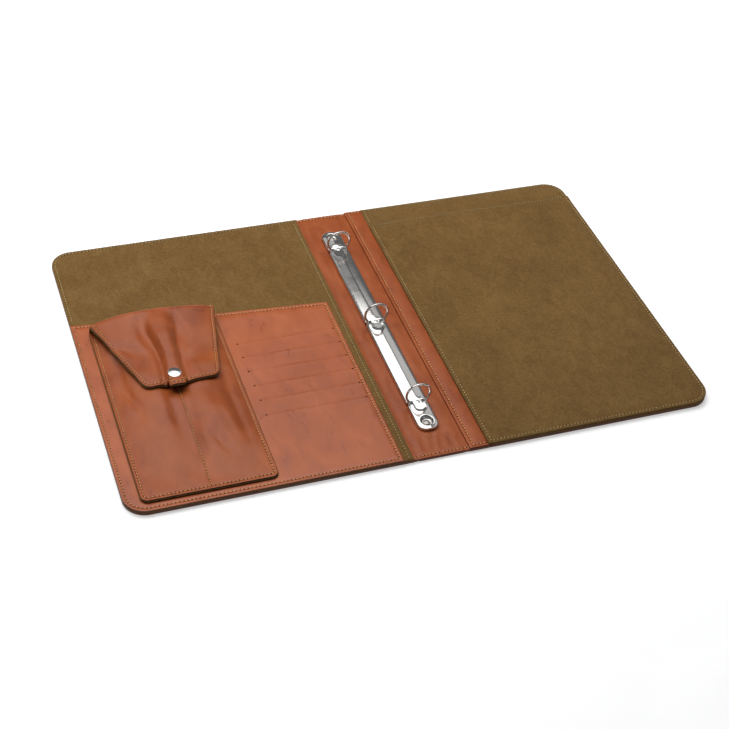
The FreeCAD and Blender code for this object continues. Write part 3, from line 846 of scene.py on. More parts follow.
def outer_cover(side, joint, nodes):
    """Half of the outer leather, from a cover's turned outer edge to the middle of the spine."""
    hinge = fold_x(joint)
    if side == "left":
        corners = rounded_left(CASE_LEFT, SPINE_MIDDLE)
        edges = [2, 3, 0]
        seam_lines = [LEFT_SEAM - SUEDE_SEAM]
    else:
        corners = rounded_right(SPINE_MIDDLE, CASE_RIGHT)
        edges = [0, 1, 2]
        seam_lines = [RIGHT_SEAM + STRIP_SEAM, SUEDE_LEFT + SEAM_INSET]
    trimmed = [edge in edges for edge in range(4)]

    def pressed(x):
        return 0.55 * hump(x - hinge, 2.2)

    def top(x, y, d):
        in_spine = ease(abs(hinge) + 2, abs(hinge) - 2, abs(x))
        edge_top = TURNED_EDGE - 0.6 * in_spine
        return OUTER_TOP + (edge_top - OUTER_TOP) * (1 - ease(BORDER, BORDER + 0.5, d)) + pressed(x)

    def bottom(x, y, d):
        return pressed(x) + 0.25 * hump(d - SEAM_INSET, 0.8)

    lines = [straight(x, CASE_NEAR + 1.0, x, CASE_FAR - 1.0) for x in seam_lines]
    border = outline(corners, trimmed, SEAM_INSET, edges=edges)
    sheet = Sheet(corners, top, bottom, trimmed, seams=[border] + lines, grid=7.0, edge_radius=0.9,
                  seam_depth=0.0, fine_bottom=True)
    leather_half = sheet.build("outer_cover_" + side, LEATHER)
    bent(leather_half, nodes)
    bent(sheet.stitches("outer_stitches_" + side, RUST_THREAD, below=True))


def lining_bottom(x, y, d):
    """Underside of a cover's lining, over the board and the outer leather's turned edge round it."""
    return TURNED_EDGE + (BOARD_TOP - TURNED_EDGE) * ease(BORDER + 0.6, BORDER + 1.6, d)


def left_lining():
    corners = rounded_left(CASE_LEFT, LEFT_SEAM)

    def top(x, y, d):
        return LEFT_TOP + waves(x, y, 3, 60.0, 0.25) * ease(4, 20, d)

    border = outline(corners, [True] * 4, SEAM_INSET, edges=[2, 3])
    border = border[border[:, 1] > PANEL_FAR + 1.0]
    seam_x = LEFT_SEAM - SUEDE_SEAM
    beside_spine = straight(seam_x, CASE_NEAR + 2.0, seam_x, CASE_FAR - 4.0)
    sheet = Sheet(corners, top, lining_bottom, seams=[border, beside_spine], grid=6.0, edge_radius=0.7)
    lining = sheet.build("left_suede_lining", SUEDE)
    placed(lining, "left_cover", ["left_lining"])
    placed(sheet.stitches("left_lining_stitches", PALE_THREAD), "left_cover")


def spine_leather(side, joint):
    """Half of the inner leather of the spine, gathered between the mechanism and the near edge."""
    hinge = fold_x(joint)
    left = LEFT_SEAM if side == "left" else SPINE_MIDDLE
    right = SPINE_MIDDLE if side == "left" else RIGHT_SEAM + STRIP_LAP
    corners = rectangle(left, CASE_NEAR, right, CASE_FAR)
    trimmed = [True, side == "right", True, side == "left"]

    def gathers(x, y):
        total = np.zeros_like(x)
        for number in range(GATHERS):
            foot = LEFT_SEAM + GATHER_START + number * GATHER_PITCH
            centre = foot + (y - GATHER_NEAR) * 0.3
            total -= 0.75 * hump(x - centre, 1.5)
            total += 0.45 * hump(x - centre - 3.2, 2.2)
        fade = ease(GATHER_NEAR - 3, GATHER_NEAR + 5, y) * (1 - ease(GATHER_FAR - 12, GATHER_FAR, y))
        return 0.7 * total * fade

    def top(x, y, d):
        groove = 0.45 * hump(x - hinge, 2.4)
        at_lining = 0.35 * hump(x - LEFT_SEAM, 1.2)
        worn = waves(x * 2.2, y * 0.7, 11, 26.0, 0.28) * ease(3, 9, d)
        under_strip = 0.5 * ease(RIGHT_SEAM - 1.0, RIGHT_SEAM + 0.2, x)
        relief = at_lining - groove + gathers(x, y) + worn * (1 - 2 * under_strip) - under_strip
        return SPINE_TOP + relief

    def bottom(x, y, d):
        on_edge = 1 - ease(BORDER, BORDER + 0.6, np.minimum(y - CASE_NEAR, CASE_FAR - y))
        over_board = 1 - ease(OVER_BOARD, OVER_BOARD + 1.5, abs(x - SPINE_MIDDLE))
        return SPINE_UNDERSIDE + SPINE_STEP * np.maximum(on_edge, over_board)

    ends = [straight(left, y, right, y) for y in END_SEAMS]
    sheet = Sheet(corners, top, bottom, trimmed, seams=ends, grid=2.4, fine_bottom=True)
    piece = sheet.build("spine_leather_" + side, LEATHER)
    bent(piece, ["spine_inner_leather"])
    bent(sheet.stitches("spine_stitches_" + side, RUST_THREAD))


def hinge_strip():
    """Leather strip along the right cover, with a raised stitched edge over the spine."""
    right = SUEDE_LEFT + STRIP_TUCK
    corners = rectangle(RIGHT_SEAM, CASE_NEAR, right, CASE_FAR)

    def top(x, y, d):
        under_suede = ease(SUEDE_LEFT - 1.2, SUEDE_LEFT - 0.2, x)
        turned_in = 0.12 * hump(x - RIGHT_SEAM - 1.3, 1.2)
        height = STRIP_TOP - 0.4 + (UNDER_SUEDE - STRIP_TOP + 0.4) * under_suede
        return height + turned_in + waves(x, y, 5, 40.0, 0.15)

    def bottom(x, y, d):
        over_board = ease(RIGHT_SEAM + 2.0, RIGHT_SEAM + 2.4, x)
        return STRIP_BOTTOM + (BOARD_TOP + GAP - STRIP_BOTTOM) * over_board

    seam_x = RIGHT_SEAM + STRIP_SEAM
    seams = [straight(seam_x, CASE_NEAR + 2.0, seam_x, CASE_FAR - 2.0)]
    seams += [straight(seam_x + 2.0, y, SUEDE_LEFT - 1.0, y) for y in END_SEAMS]
    trimmed = [True, False, True, True]
    sheet = Sheet(corners, top, bottom, trimmed, seams=seams, grid=4.0, edge_radius=0.5)
    piece = sheet.build("hinge_leather_strip", LEATHER)
    placed(piece, "right_cover", ["hinge_strip"])
    placed(sheet.stitches("hinge_strip_stitches", RUST_THREAD), "right_cover")


def right_lining():
    corners = rounded_right(SUEDE_LEFT, CASE_RIGHT)

    def bottom(x, y, d):
        on_strip = 1 - ease(SUEDE_LEFT + STRIP_TUCK + 0.5, SUEDE_LEFT + STRIP_TUCK + 2.0, x)
        return np.maximum(lining_bottom(x, y, d), (UNDER_SUEDE + GAP) * on_strip)

    border = outline(corners, [True] * 4, SEAM_INSET, edges=[1, 2, 3])
    border = border[border[:, 1] > MOUTH_Y + 2.0]
    sheet = Sheet(corners, level(RIGHT_TOP), bottom, seams=[border], grid=7.0, edge_radius=0.7)
    lining = sheet.build("right_suede_lining", SUEDE)
    placed(lining, "right_cover", ["right_lining"])
    placed(sheet.stitches("right_lining_stitches", PALE_THREAD), "right_cover")


def document_pocket():
    """Suede panel sewn down on three sides, hemmed and slightly open along its far edge."""
    corners = rectangle(SUEDE_LEFT, CASE_NEAR, CASE_RIGHT, MOUTH_Y, near_right=CORNER_RADIUS)
    trimmed = [True] * 4
    sewn = outline(corners, trimmed, edges=[3, 0, 1])

    def from_sewn(x, y):
        return nearest(columns(x, y), sewn)[0]

    def top(x, y, d):
        away = from_sewn(x, y)
        swell = ease(8.0, 95.0, away) * 0.9 + waves(x, y, 21, 85.0, 0.5) * ease(6, 40, away)
        hem = 0.35 * (1 - ease(HEM_WIDTH - 0.4, HEM_WIDTH + 0.4, MOUTH_Y - y))
        return POCKET_TOP - 0.55 * (1 - ease(3.5, 9.0, away)) + swell + hem

    def bottom(x, y, d):
        return np.where(from_sewn(x, y) < 4.0, RIGHT_TOP + GAP, top(x, y, d) - 1.2)

    border = outline(corners, trimmed, SEAM_INSET, edges=[3, 0, 1])
    hem_y = MOUTH_Y - SEAM_INSET
    hem = straight(SUEDE_LEFT + 5.0, hem_y, CASE_RIGHT - 5.0, hem_y)
    sheet = Sheet(corners, top, bottom, seams=[border, hem], grid=5.0, edge_radius=0.6)
    piece = sheet.build("document_pocket_suede", SUEDE)
    placed(piece, "right_cover", ["document_pocket"])
    placed(sheet.stitches("document_pocket_stitches", PALE_THREAD), "right_cover")


# ---- Card panel ----
SLIT_COUNT = 6
SLIT_LIP = 0.03                 # half the width of a closed slit
SLIT_HOLE = 0.85                # radius of the punched hole at each end
POCKET_MARGIN = 1.7             # of a pocket beyond the ends of its slit
SLANT_DROP = 22.0               # of the panel's far edge at its right end
SLANT_WIDTH = 100.5             # of the edge's right part, which is less steep than the left part
SLANT_BEND = 14.3               # drop of the edge where the two parts meet


def slits():
    """(left, right, y) of each card slit, worked out from the pockets behind them."""
    found = []
    for number in range(1, SLIT_COUNT + 1):
        low, high = box("card_pocket_%d" % number)
        found.append((low[0] + POCKET_MARGIN, high[0] - POCKET_MARGIN, high[1]))
    return found


def slit_hole(left, right, y, number):
    """Closed outline of a slit: two lips that part a little, and a punched hole at each end."""
    def lip(x):
        share = (x - left) / (right - left)
        gape = 0.035 * hump(share - 0.25 - 0.09 * number, 0.10)
        return SLIT_LIP + gape

    stations = np.linspace(left + 2.0, right - 2.0, 30)
    gap = math.asin(SLIT_LIP / SLIT_HOLE)
    lower = columns(stations, y - lip(stations))
    upper = columns(stations, y + lip(stations))[::-1]
    turn = np.linspace(-math.pi + gap, math.pi - gap, 14)
    right_end = columns(right + SLIT_HOLE * np.cos(turn), y + SLIT_HOLE * np.sin(turn))
    turn = np.linspace(gap, math.tau - gap, 14)
    left_end = columns(left + SLIT_HOLE * np.cos(turn), y + SLIT_HOLE * np.sin(turn))
    return np.concatenate([lower, right_end, upper, left_end])


def card_panel():
    """Leather panel with a slanting far edge, six card slits and stitches all round."""
    corners = [
        (CASE_LEFT, CASE_NEAR, CORNER_RADIUS),
        (PANEL_RIGHT, CASE_NEAR, 0.0),
        (PANEL_RIGHT, PANEL_FAR - SLANT_DROP, 2.0),
        (PANEL_RIGHT - SLANT_WIDTH, PANEL_FAR - SLANT_BEND, 0.0),
        (CASE_LEFT, PANEL_FAR, 0.0),
    ]
    found = slits()

    def relief(x, y):
        total = np.zeros_like(x)
        for left, right, slit_y in found:
            along = ease(left - 4, left + 4, x) * (1 - ease(right - 4, right + 4, x))
            lift = 0.05 + 0.05 * np.sin(x * 0.11 + slit_y)
            total += along * lift * hump(y - slit_y + 0.9, 1.3)
            total -= along * 0.05 * hump(y - slit_y - 2.0, 1.6)
        return total

    def top(x, y, d):
        sewn_down = 0.15 * (1 - ease(2, 7, d))
        return PANEL_TOP + relief(x, y) + waves(x, y, 8, 70.0, 0.4) * ease(5, 25, d) - sewn_down

    trimmed = [True] * 5
    border = closed(outline(corners, trimmed, SEAM_INSET))
    holes = [slit_hole(*slit, number) for number, slit in enumerate(found)]
    ridges = [columns(np.linspace(left - 3, right + 3, 60), np.full(60, y + off))
              for left, right, y in found for off in (-3.4, -2.2, -1.2, -0.6, 0.6, 1.4, 3.0)]
    sheet = Sheet(corners, top, level(LEFT_TOP + GAP), seams=[border], holes=holes, grid=4.0,
                  rows=ridges)
    panel = sheet.build("card_panel_leather", LIT_PANEL_LEATHER)
    placed(panel, "left_cover", ["card_panel"])
    placed(sheet.stitches("card_panel_stitches", RUST_THREAD), "left_cover")


# ---- Pen pouch ----
POUCH_SEAM = 2.8                # from the pouch's edge to its stitches
POUCH_CORNER = 6.0
POUCH_BACK = 1.0                # thickness of the pouch's back
POUCH_LEATHER = 1.2
POUCH_LINING = 0.55
LINING_SHOWS = 0.60             # of raw suede beyond the cut edges of the pouch and the flap
CENTRE_SEAM_X = (POUCH_LEFT + POUCH_RIGHT) / 2 + 1.0
CHANNEL_MARGIN = 4.0            # of flat leather beside the channels, on the left and the right
POUCH_BASE = PANEL_TOP + POUCH_BACK + POUCH_LINING + POUCH_LEATHER + 0.1
CREST = 10.0                    # how far the pen channels stand above the sewn border
# where the hollow at the centre seam starts to get shallower, and where it has done so
CRUSHED_FROM, CRUSHED_TO = -100.0, -58.0
POUCH_CREASES = (               # path, depths and widths; a depth below zero is a ridge
    ([(-235, 4), (-236, -34), (-233, -47), (-227, -62), (-225, -78)],
     [2.2, 3.4, 2.8, 1.4, 0.0], [3.0, 3.2, 3.6, 4.5, 5.0]),
    ([(-202, -44), (-201, -76), (-198, -112)], [2.4, 1.8, 0.0], [4.5, 5.0, 5.0]),
    ([(-182, -60), (-180, -88), (-174, -110), (-166, -128)],
     [0.3, 1.8, 2.4, 0.8], [8.0, 7.0, 5.5, 4.6]),
    ([(-147, -30), (-149, -90), (-149, -124), (-152, -146)],
     [1.8, 3.0, 3.2, 2.0], [6.0, 6.0, 5.5, 4.5]),
    ([(-156, POUCH_NEAR + 20), (-163, POUCH_NEAR + 7)], [1.2, 1.8], [1.8, 1.5]),
    ([(-150.5, POUCH_NEAR + 20), (-153, POUCH_NEAR + 7)], [1.0, 1.6], [1.5, 1.3]),
    ([(-145, POUCH_NEAR + 22), (-144.5, POUCH_NEAR + 12)], [0.9, 1.2], [1.6, 1.4]),
    ([(-158, -78), (-153, -104), (-150, -128), (-157, POUCH_NEAR + 16)],
     [-0.8, -1.6, -1.8, -0.8], [5.0, 4.5, 3.5, 2.6]),
)


def pouch_surface(x, y):
    """Front of the pouch: two pen channels that swell towards the flap, with a hollow between them."""
    left_end = POUCH_LEFT + CHANNEL_MARGIN
    right_end = POUCH_RIGHT - CHANNEL_MARGIN
    left_share = np.clip((CENTRE_SEAM_X - x) / (CENTRE_SEAM_X - left_end), 0, 1)
    right_share = np.clip((x - CENTRE_SEAM_X) / (right_end - CENTRE_SEAM_X), 0, 1)
    up = y - POUCH_NEAR
    right_power = 2.4 - 0.7 * ease(25, 115, up)
    profile = np.where(x < CENTRE_SEAM_X, 1 - left_share ** 1.9, 1 - right_share ** right_power)
    left_rise = ease(3, 112, up)
    right_rise = ease(3, 78, up)
    over_seam = ease(CENTRE_SEAM_X - 9, CENTRE_SEAM_X + 9, x)
    rise = left_rise + (right_rise - left_rise) * over_seam
    below_snap = 1 - ease(CRUSHED_FROM, CRUSHED_TO, y)
    dip_width = 10.0 + np.where(x < CENTRE_SEAM_X, 7.0, -1.5) * below_snap
    dip = (0.50 + 0.18 * below_snap) * hump(x - CENTRE_SEAM_X, dip_width)
    height = CREST * profile * rise * (1 - dip)
    height = height - pouch_creases(x, y) * ease(0.5, 5.0, height)
    away = np.minimum.reduce([x - POUCH_LEFT, POUCH_RIGHT - x, y - POUCH_NEAR])
    height = height + waves(x, y, 14, 30.0, 0.5) * ease(4, 14, away)
    return columns(x, y, POUCH_BASE + height)


def pouch_creases(x, y):
    """Depth of the folds in the pouch's front."""
    return sum(crease(x, y, *furrow) for furrow in POUCH_CREASES)


def pouch():
    corners = rectangle(POUCH_LEFT, POUCH_NEAR, POUCH_RIGHT, POUCH_FAR, POUCH_CORNER, POUCH_CORNER)
    back_corners = rectangle(POUCH_LEFT, POUCH_NEAR, POUCH_RIGHT, POUCH_BACK_FAR - 0.6,
                             POUCH_CORNER, POUCH_CORNER)
    border = outline(corners, [True] * 4, POUCH_SEAM, edges=[3, 0, 1])
    centre = straight(CENTRE_SEAM_X, POUCH_NEAR + POUCH_SEAM + 0.6, CENTRE_SEAM_X, POUCH_FAR - 4.0)

    front = Sheet(corners, level(0.0), level(-POUCH_LEATHER), surface=pouch_surface,
                  seams=[border, centre], grid=2.6, fine_bottom=True)
    lining_corners = moved_in(corners, [True, True, False, True], -LINING_SHOWS)
    lining = Sheet(lining_corners, level(-POUCH_LEATHER - GAP), level(-POUCH_LEATHER - POUCH_LINING),
                   surface=pouch_surface, grid=3.2, fine_bottom=True, edge_radius=0.2)
    back = Sheet(back_corners, level(PANEL_TOP + POUCH_BACK + GAP), level(PANEL_TOP + GAP), grid=7.0,
                 edge_radius=0.35)
    for name, sheet, material, slot, nodes in (
        ("pouch_front_leather", front, LEATHER, "cognac_leather", ["pen_pouch_front"]),
        ("pouch_front_lining", lining, SUEDE, "olive_suede", []),
        ("pouch_back_leather", back, LEATHER, "cognac_leather", ["pen_pouch_back"]),
    ):
        piece = placed(sheet.build(name, material), "left_cover", nodes)
    placed(front.stitches("pouch_stitches", RUST_THREAD), "left_cover")


# ---- Flap ----
FOLD_RADIUS = 5.9               # outside of the bend where the flap turns down behind the pouch
FOLD_Y = POUCH_BACK_FAR - 0.2 - FOLD_RADIUS
WALL_LENGTH = 9.0               # of the leather that stands behind the pouch
WALL_FOOT = PANEL_TOP + 1.3     # height where it starts
FLAP_CORNER = 9.0
TAB_HALF = 7.5
SNAP_SEAT = 6.2                 # radius of the level place under the snap's cap
FLAP_SEAM = 2.5
LOW_LEFT = (-218.5, -45.5)      # corners of the flap beside its tab
LOW_RIGHT = (-153.5, -41.5)
FLAP_THICKNESS = SKIN + FLAP_LINING


FLAP_CREASES = (                # path, depths and widths; a depth below zero is a ridge
    ([(-237, 14), (-224, 6), (-209, -10)], [0.4, 2.2, 0.8], [5.5, 5.5, 5.0]),
    ([(-180, -20), (-166, -16), (-146, -8)], [0.6, 2.8, 2.4], [5.0, 6.5, 7.5]),
    ([(-226, -16), (-214, -28), (-206, -38)], [0.0, -0.9, -0.3], [7.0, 7.0, 5.0]),
)


def along_flap(y, values):
    """A size that changes along the flap, given at even steps from its tab to its bend."""
    return np.interp(y, np.linspace(FLAP_NEAR, FOLD_Y, len(values)), values)


def soft_positive(value, softness=0.6):
    """The value where it is well above zero and 0 where it is well below, with a soft bend between."""
    steep = value / softness
    return softness * (np.log1p(np.exp(np.minimum(steep, 30.0))) + np.maximum(steep - 30.0, 0))


def flap_height(x, y):
    """Top of the flap: a raised middle pleat, a deep fold on each side, and panels that sag outward."""
    left = along_flap(y, [LOW_LEFT[0] - 1.4, FLAP_LEFT])
    right = along_flap(y, [LOW_RIGHT[0] - 0.9, FLAP_RIGHT])
    share = np.clip((x - left) / (right - left), 0, 1)
    left_edge = along_flap(y, [18.6, 18.2, 17.6, 16.8, 15.9])
    right_edge = along_flap(y, [18.0, 18.0, 17.8, 18.0, 19.0])
    low = left_edge + (right_edge - left_edge) * share
    crown = along_flap(y, [19.8, 20.0, 20.6, 22.8, 25.4])
    height = low + (crown - low) * (1 - np.abs(2 * share - 0.94) ** 2.2)
    pleat_left = along_flap(y, [-200.2, -200.0, -199.2, -198.4, -199.0, -200.4, -201.6, -201.0, -199.0])
    pleat_right = along_flap(y, [-184.0, -184.0, -183.6, -182.6, -181.6, -180.8, -180.2, -180.4,
                                 -182.0])
    shoulder_left = along_flap(y, [0.6, 0.7, 1.1, 1.9, 2.8, 3.8, 5.0])
    shoulder_right = along_flap(y, [1.1, 1.2, 1.8, 2.6, 3.2, 4.0, 5.0])
    rise = along_flap(y, [3.0, 3.2, 3.8, 4.6, 4.6, 2.6, 0.1])
    pleat = np.tanh((x - pleat_left) / shoulder_left) - np.tanh((x - pleat_right) / shoulder_right)
    fold_left = along_flap(y, [2.0, 2.8, 4.0, 4.8, 4.2, 2.0, 0.0])
    fold_right = along_flap(y, [0.4, 0.8, 1.8, 3.2, 3.6, 1.8, 0.0])
    height = height + rise * pleat * 0.5
    beside = pleat_left - shoulder_left * 1.1
    height = height - fold_left * hump(x - beside, shoulder_left + 2.4)
    beside = pleat_right + shoulder_right * 1.1
    height = height - fold_right * hump(x - beside, shoulder_right + 2.4)
    for furrow in FLAP_CREASES:
        height = height - crease(x, y, *furrow)
    height = height + waves(x, y, 31, 38.0, 0.6)
    away = np.hypot(x - SNAP[0], y - SNAP[1])
    height = height + (FLAP_LEVEL - height) * np.exp(-(away / SNAP_SEAT) ** 6)
    floor = pouch_surface(x, np.minimum(y, POUCH_FAR))[:, 2] + FLAP_THICKNESS + 0.5
    return floor + soft_positive(height - floor)


def flap_surface(x, y):
    """The flap from its foot behind the pouch, up, over a bend and forward to its free edge."""
    top = flap_height(x, np.minimum(y, FOLD_Y))
    bend = np.clip((y - FOLD_Y) / FOLD_RADIUS, 0, math.pi / 2)
    wall = np.maximum((y - FOLD_Y - FOLD_RADIUS * math.pi / 2) / WALL_LENGTH, 0)
    shoulder = top - FOLD_RADIUS
    place = np.where(y < FOLD_Y, y, FOLD_Y + FOLD_RADIUS * np.sin(bend))
    height = np.where(y < FOLD_Y, top, top - FOLD_RADIUS * (1 - np.cos(bend)))
    height = np.where(wall > 0, shoulder + (WALL_FOOT - shoulder) * wall, height)
    return columns(x, place, height)


def flap_corners(inset=0.0):
    """Corners of the flap laid flat, starting beside its tab."""
    far = FOLD_Y + FOLD_RADIUS * math.pi / 2 + WALL_LENGTH
    tab_left, tab_right = SNAP[0] - TAB_HALF, SNAP[0] + TAB_HALF
    corners = [
        (*LOW_LEFT, FLAP_CORNER),
        (tab_left, LOW_LEFT[1] + 1.2, 0.0),
        (tab_left, FLAP_NEAR, 1.2),
        (tab_right, FLAP_NEAR, 1.2),
        (tab_right, LOW_RIGHT[1] - 4.2, 0.0),
        (*LOW_RIGHT, FLAP_CORNER),
        (FLAP_RIGHT, FOLD_Y + 1.0, 3.0),
        (FLAP_RIGHT, far, 0.0),
        (FLAP_LEFT, far, 0.0),
        (FLAP_LEFT, FOLD_Y + 1.0, 3.0),
    ]
    return moved_in(corners, [True] * len(corners), inset) if inset else corners


def flap():
    """Leather flap with its tab, and its suede lining."""
    corners = flap_corners()
    trimmed = [True] * len(corners)
    border = outline(corners, trimmed, FLAP_SEAM, edges=[9, 0, 1, 2, 3, 4, 5, 6])
    skin = Sheet(corners, level(0.0), level(-SKIN), surface=flap_surface, seams=[border], grid=1.8,
                 fine_bottom=True, edge_radius=0.5)
    lining_corners = flap_corners(-LINING_SHOWS)
    lining = Sheet(lining_corners, level(-SKIN - GAP), level(-FLAP_THICKNESS), surface=flap_surface,
                   grid=2.2, fine_bottom=True, edge_radius=0.3)
    for name, sheet, material, slot, node in (
        ("flap_skin", skin, LEATHER, "cognac_leather", "flap_leather"),
        ("flap_suede", lining, SUEDE, "olive_suede", "flap_lining"),
    ):
        piece = sheet.build(name, material)
        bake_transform(piece)
        finished([node])
    stitches = skin.stitches("flap_stitches", RUST_THREAD)
    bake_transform(stitches)


# ---- Metal parts ----
TURNED_SIDES = 56
AXIS_RADIUS = 0.05              # a turned part is closed this close to its axis


def turned(name, profile, centre, material):
    """Round part from a profile of (radius, height) points, closed at both ends."""
    vertices = []
    for radius, height in profile:
        for part in range(TURNED_SIDES):
            angle = math.tau * part / TURNED_SIDES
            x, y = centre[0] + radius * math.cos(angle), centre[1] + radius * math.sin(angle)
            vertices.append((x, y, height))
    return new_object(name, vertices, tube_faces(len(profile), TURNED_SIDES), material)


def arc_profile(radius, height, base):
    """Shallow dome from its rim to near its axis."""
    sphere = (radius ** 2 + height ** 2) / (2 * height)
    widths = np.linspace(radius, AXIS_RADIUS, 10)
    return [(w, base + math.sqrt(sphere ** 2 - w ** 2) - (sphere - height)) for w in widths]


def snap_cap():
    low, high = box("snap_cap")
    radius = (high[0] - low[0]) / 2
    rim = low[2] + 0.75
    profile = [(AXIS_RADIUS, low[2] - 0.3), (radius - 0.5, low[2] - 0.3), (radius - 0.1, low[2] + 0.1)]
    profile += [(radius, low[2] + 0.4), (radius - 0.12, rim)]
    profile += [(radius - 0.5, rim + 0.25), (radius - 0.9, rim + 0.32)]
    profile += arc_profile(radius - 1.0, high[2] - rim - 0.34, rim + 0.34)
    cap = turned("snap_cap_dome", profile, SNAP, NICKEL)
    placed(cap, "pen_flap", ["snap_cap"])


RIVET_SHANK = 1.9


def mounting_rivets():
    for end, centre in zip(("near", "far"), RIVETS):
        low, high = box("rivet_" + end)
        radius = (high[0] - low[0]) / 2
        head = high[2] - 1.5
        profile = [(AXIS_RADIUS, low[2]), (RIVET_SHANK, low[2]), (RIVET_SHANK, head - 0.1)]
        profile += [(radius - 0.2, head - 0.1), (radius, head + 0.1)]
        profile += arc_profile(radius - 0.05, high[2] - head - 0.15, head + 0.15)
        # the rivets take the darker nickel, which paints their shade
        rivet = turned("mounting_rivet_" + end, profile, centre, DULL_SHADED_NICKEL)
        placed(rivet, "spine", ["rivet_" + end])


HOUSING_SHEET = 0.7
WALL_TOP = 2.7                  # straight part of the housing's walls
SLOT_HALF = 1.7                 # half width of a wire's notch
SLOT_INNER = 4.3                # from the housing's middle to the notch's inner end
RIDGE_SLOPE = 0.13              # fall of each side of the top, away from the ridge along its middle
RIDGE_ROUND = 1.0               # how softly the ridge is rounded
PAD_HALF = 5.2                  # tongue pressed into the top on the near side of each ring
PAD_LENGTH = 11.0
PAD_DEPTH = 0.85
TONGUE_STEP = 0.7               # between points along a tongue's sides
DISH_RADIUS = 6.0               # of the dished seat round each rivet
DISH_FLOOR = 1.2                # its height over the leather
BOSS_RADIUS = 1.5
BOSS_RISE = 0.4
END_RADIUS = 8.5                # of the outline's corners
END_DROP = 1.3                  # fall of the top towards each end, over END_LENGTH
END_LENGTH = 9.0
ARCH_POWER = 7                  # the higher, the flatter the top and the squarer its shoulders


def housing_top(x, y, d):
    """Ridged sheet-metal top: a pressed tongue and a boss at each ring, a dished seat at each end."""
    half = (HOUSING_RIGHT - HOUSING_LEFT) / 2
    across = x - SPINE_MIDDLE
    slope = RIDGE_SLOPE * (np.sqrt(across ** 2 + RIDGE_ROUND ** 2) - RIDGE_ROUND)
    shoulder = HOUSING_TOP - SPINE_TOP - WALL_TOP - RIDGE_SLOPE * half
    arch = HOUSING_TOP - slope - shoulder * np.abs(across / half) ** ARCH_POWER
    ends = np.minimum(y - HOUSING_NEAR, HOUSING_FAR - y)
    height = arch - END_DROP * (1 - ease(0.0, END_LENGTH, ends))
    for ring_y in RINGS.values():
        forward = ring_y - y
        away = np.hypot(across, np.maximum(forward - PAD_LENGTH + PAD_HALF, 0))
        pressed = (1 - ease(PAD_HALF - 1.4, PAD_HALF + 1.6, away)) * ease(-7.0, 1.0, forward)
        height = height + (HOUSING_TOP - PAD_DEPTH - height) * pressed
        boss = np.hypot(across, forward)
        height = height + BOSS_RISE * (1 - ease(BOSS_RADIUS - 0.45, BOSS_RADIUS + 0.15, boss))
    for rivet in RIVETS:
        away = np.hypot(x - rivet[0], y - rivet[1])
        floor = SPINE_TOP + DISH_FLOOR + GAP
        height = floor + (height - floor) * ease(DISH_RADIUS - 2.0, DISH_RADIUS + 0.2, away)
    return height


def housing_bottom(x, y, d):
    return np.where(d < HOUSING_SHEET, SPINE_TOP + GAP, housing_top(x, y, d) - HOUSING_SHEET)


def housing_corners():
    """Outline with round ends, and a notch for the wire on both sides at each ring."""
    rings = sorted(RINGS.values())
    corners = []
    for side, edge, end, order in ((1, HOUSING_RIGHT, HOUSING_NEAR, rings),
                                   (-1, HOUSING_LEFT, HOUSING_FAR, rings[::-1])):
        inner = SPINE_MIDDLE + side * SLOT_INNER
        opposite = HOUSING_LEFT if side == 1 else HOUSING_RIGHT
        corners += [(opposite, end, END_RADIUS), (edge, end, END_RADIUS)]
        for y in order:
            start, end_y = y - side * SLOT_HALF, y + side * SLOT_HALF
            corners += [(edge, start, 0.0), (inner, start, 0.4)]
            corners += [(inner, end_y, 0.4), (edge, end_y, 0.0)]
    return corners


def circle_row(x, y, radius):
    """Points round a circle, to carry a round step in the sheet."""
    turn = np.linspace(0, math.tau, 12 if radius < 1.5 else 48, endpoint=False)
    return columns(x + radius * np.cos(turn), y + radius * np.sin(turn))


def tongue_row(ring_y, reach):
    """Points round the near end of a pressed tongue, at one distance from its middle line."""
    start = ring_y - PAD_LENGTH + PAD_HALF
    turn = np.linspace(math.pi, math.tau, 24)
    bend = columns(SPINE_MIDDLE + reach * np.cos(turn), start + reach * np.sin(turn))
    sides = np.arange(start + TONGUE_STEP, ring_y + 7.0, TONGUE_STEP)
    right = columns(np.full_like(sides, SPINE_MIDDLE + reach), sides)
    left = columns(np.full_like(sides, SPINE_MIDDLE - reach), sides[::-1])
    return np.concatenate([bend, right, left])


def housing():
    rows = []
    for y in RINGS.values():
        rows += [circle_row(SPINE_MIDDLE, y, radius) for radius in (0.5, 1.0, 1.4, 1.8)]
        rows += [tongue_row(y, reach) for reach in np.arange(PAD_HALF - 1.9, PAD_HALF + 2.2, 0.5)]
    for rivet in RIVETS:
        rows += [circle_row(*rivet[:2], radius) for radius in (2.0, 3.4, 4.2, 4.8, 5.4, 6.0, 6.6, 7.2)]
    sheet = Sheet(housing_corners(), housing_top, housing_bottom, grid=0.75, edge_radius=0.8, rows=rows,
                  fine_bottom=True)
    placed(sheet.build("mechanism_housing", NICKEL), "spine", ["ring_housing"])


RING_CENTRE_Z = 16.7
RING_PATH = 10.9                # radius of the wire's centreline
WIRE = 1.1                      # wire radius
WIRE_SIDES = 20
FOOT_OFFSET = 8.0               # from the mechanism's middle to a half ring's straight foot
FOOT_BEND = 2.5
FOOT_END = 5.6                  # height of the foot's lower end, inside the housing
TIP_GAP = 0.12                  # half the gap between closed tips


